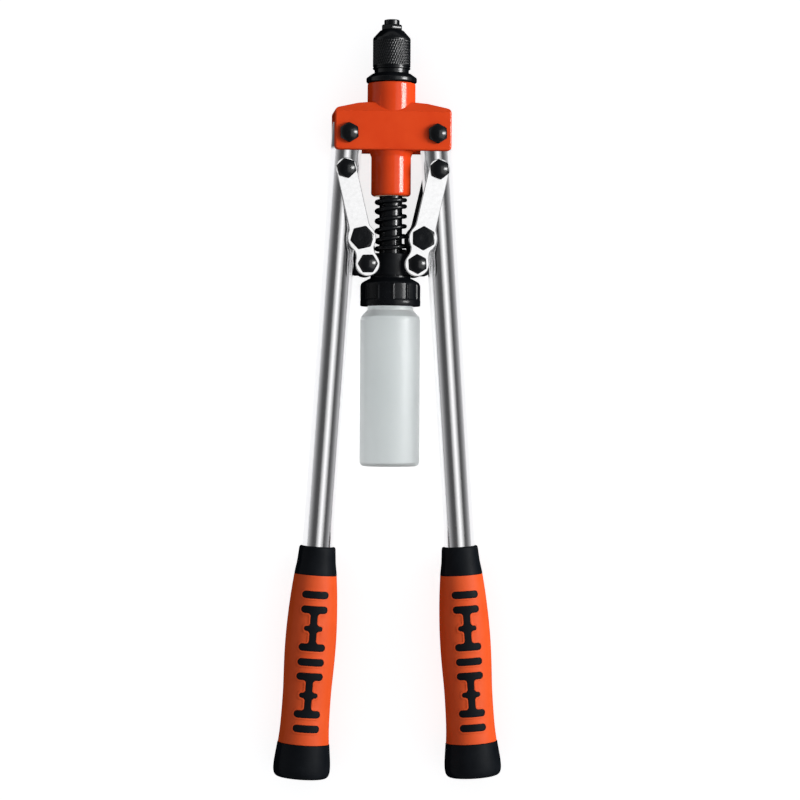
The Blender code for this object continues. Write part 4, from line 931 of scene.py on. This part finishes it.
# Mirror rays see a ramp from overhead to the horizon at the tool's sides
across = maths(tree, "ABSOLUTE", coordinate(tree, "Generated", "X"))
angle = maths(tree, "ARCTAN2", across, coordinate(tree, "Generated", "Z"))
ramp = nodes.new("ShaderNodeValToRGB")
ramp.color_ramp.interpolation = "B_SPLINE"
stops = [(0.0, 0.08), (0.42, 0.06), (0.55, 0.09), (0.68, 0.19), (0.80, 0.34), (0.90, 0.48), (1.0, 0.60)]
while len(ramp.color_ramp.elements) < len(stops):
    ramp.color_ramp.elements.new(0.5)
for element, (position, value) in zip(ramp.color_ramp.elements, stops):
    element.position = position
    element.color = (value, value, value * 1.02, 1)
links.new(maths(tree, "DIVIDE", angle, math.pi / 2), ramp.inputs["Fac"])
links.new(ramp.outputs["Color"], cards.inputs["Color"])
seen = plain.outputs[0]
for ray, other in (("Is Glossy Ray", cards), ("Is Camera Ray", white)):
    mix = nodes.new("ShaderNodeMixShader")
    links.new(path.outputs[ray], mix.inputs[0])
    links.new(seen, mix.inputs[1])
    links.new(other.outputs[0], mix.inputs[2])
    seen = mix.outputs[0]
links.new(seen, out.inputs["Surface"])


def axes_at(right, up, back, where):
    """A lamp's or camera's matrix, which looks along minus back."""
    return Matrix(((right.x, up.x, back.x, where[0]), (right.y, up.y, back.y, where[1]),
                   (right.z, up.z, back.z, where[2]), (0, 0, 0, 1)))


def lamp(name, where, aim, size, glow, lit):
    """An area lamp of that radiance, its length along the tool, which lights only the listed pieces."""
    light = bpy.data.lights.new(name, "AREA")
    light.shape = "RECTANGLE"
    light.size, light.size_y = size
    light.energy = glow * math.pi * size[0] * size[1]
    obj = bpy.data.objects.new(name, light)
    off = (Vector(where) - Vector(aim)).normalized()
    along = (Vector((0, 1, 0)) - off * off.y).normalized()
    obj.matrix_world = axes_at(along.cross(off), along, off, where)
    bpy.context.scene.collection.objects.link(obj)
    group = bpy.data.collections.new(f"{name}_receivers")
    for piece in lit:
        group.objects.link(piece)
    obj.light_linking.receiver_collection = group


bright, satin = [], []
for piece in bpy.context.scene.objects:
    if piece.type == "MESH" and piece is not floor and piece.data.materials:
        (bright if piece.data.materials[0] in (chrome, plated, steel, bronze) else satin).append(piece)
unseen = ["bottle_collar", "spent_bottle", "head_shell", "crosshead_yoke", "guide_bush", "pull_tube", "bottle_seal"]
unseen += [f"{side}_{kind}_{piece}" for side in ("left", "right") for kind in ("tie", "cross")
           for piece in ("screw", "locknut")]
# Mirror rays pass these, so that the plated tubes stay clean
for name in unseen:
    bpy.data.objects[name].visible_glossy = False
# Rays through the milky bottle pass these, so that its neck stays light
for name in ("bottle_collar", "bottle_seal", "pull_tube", "crosshead_yoke"):
    bpy.data.objects[name].visible_transmission = False
# Each lamp's tilt in degrees, distance and place along the tool in metres, size, radiance and pieces
lamps = (("key", 41, 1.7, 0.05, (1.66, 2.2), 1.05, satin), ("window", 57, 1.3, 0.27, (0.54, 0.32), 28, satin),
         ("card", 8, 2.2, 0, (0.62, 3.2), 0.40, bright), ("card_mid", 8, 2.19, 0, (1.34, 3.2), 0.34, bright),
         ("card_wide", 8, 2.18, 0, (2.1, 3.2), 0.33, bright))
for name, turn, far, along, size, glow, lit in lamps:
    turn = math.radians(turn)
    lamp(name, (far * math.sin(turn), along, far * math.cos(turn)), (0, along * 0.45, 0), size, glow, lit)

# Camera, above the tool as it lies, seeing it as the photograph does
AZIMUTH, ROLL, FAR, HALF_VIEW = math.radians(-5.5), math.radians(0.35), 1.47, 0.2272
camera_data = bpy.data.cameras.new("camera")
camera_data.sensor_width = 36
camera_data.lens = camera_data.sensor_width / (2 * (HALF_VIEW / FAR))
camera = bpy.data.objects.new("camera", camera_data)
aim = Vector((0.0059, -0.0006, DEPTH * MM))
back = Vector((math.sin(AZIMUTH), 0, math.cos(AZIMUTH)))
up = Vector((-math.sin(ROLL), math.cos(ROLL), 0))
right = up.cross(back).normalized()
up = back.cross(right)
camera.matrix_world = axes_at(right, up, back, aim + back * FAR)
camera_data.clip_start = 0.05
bpy.context.scene.collection.objects.link(camera)
bpy.context.scene.camera = camera
bpy.context.scene.view_settings.view_transform = "Standard"
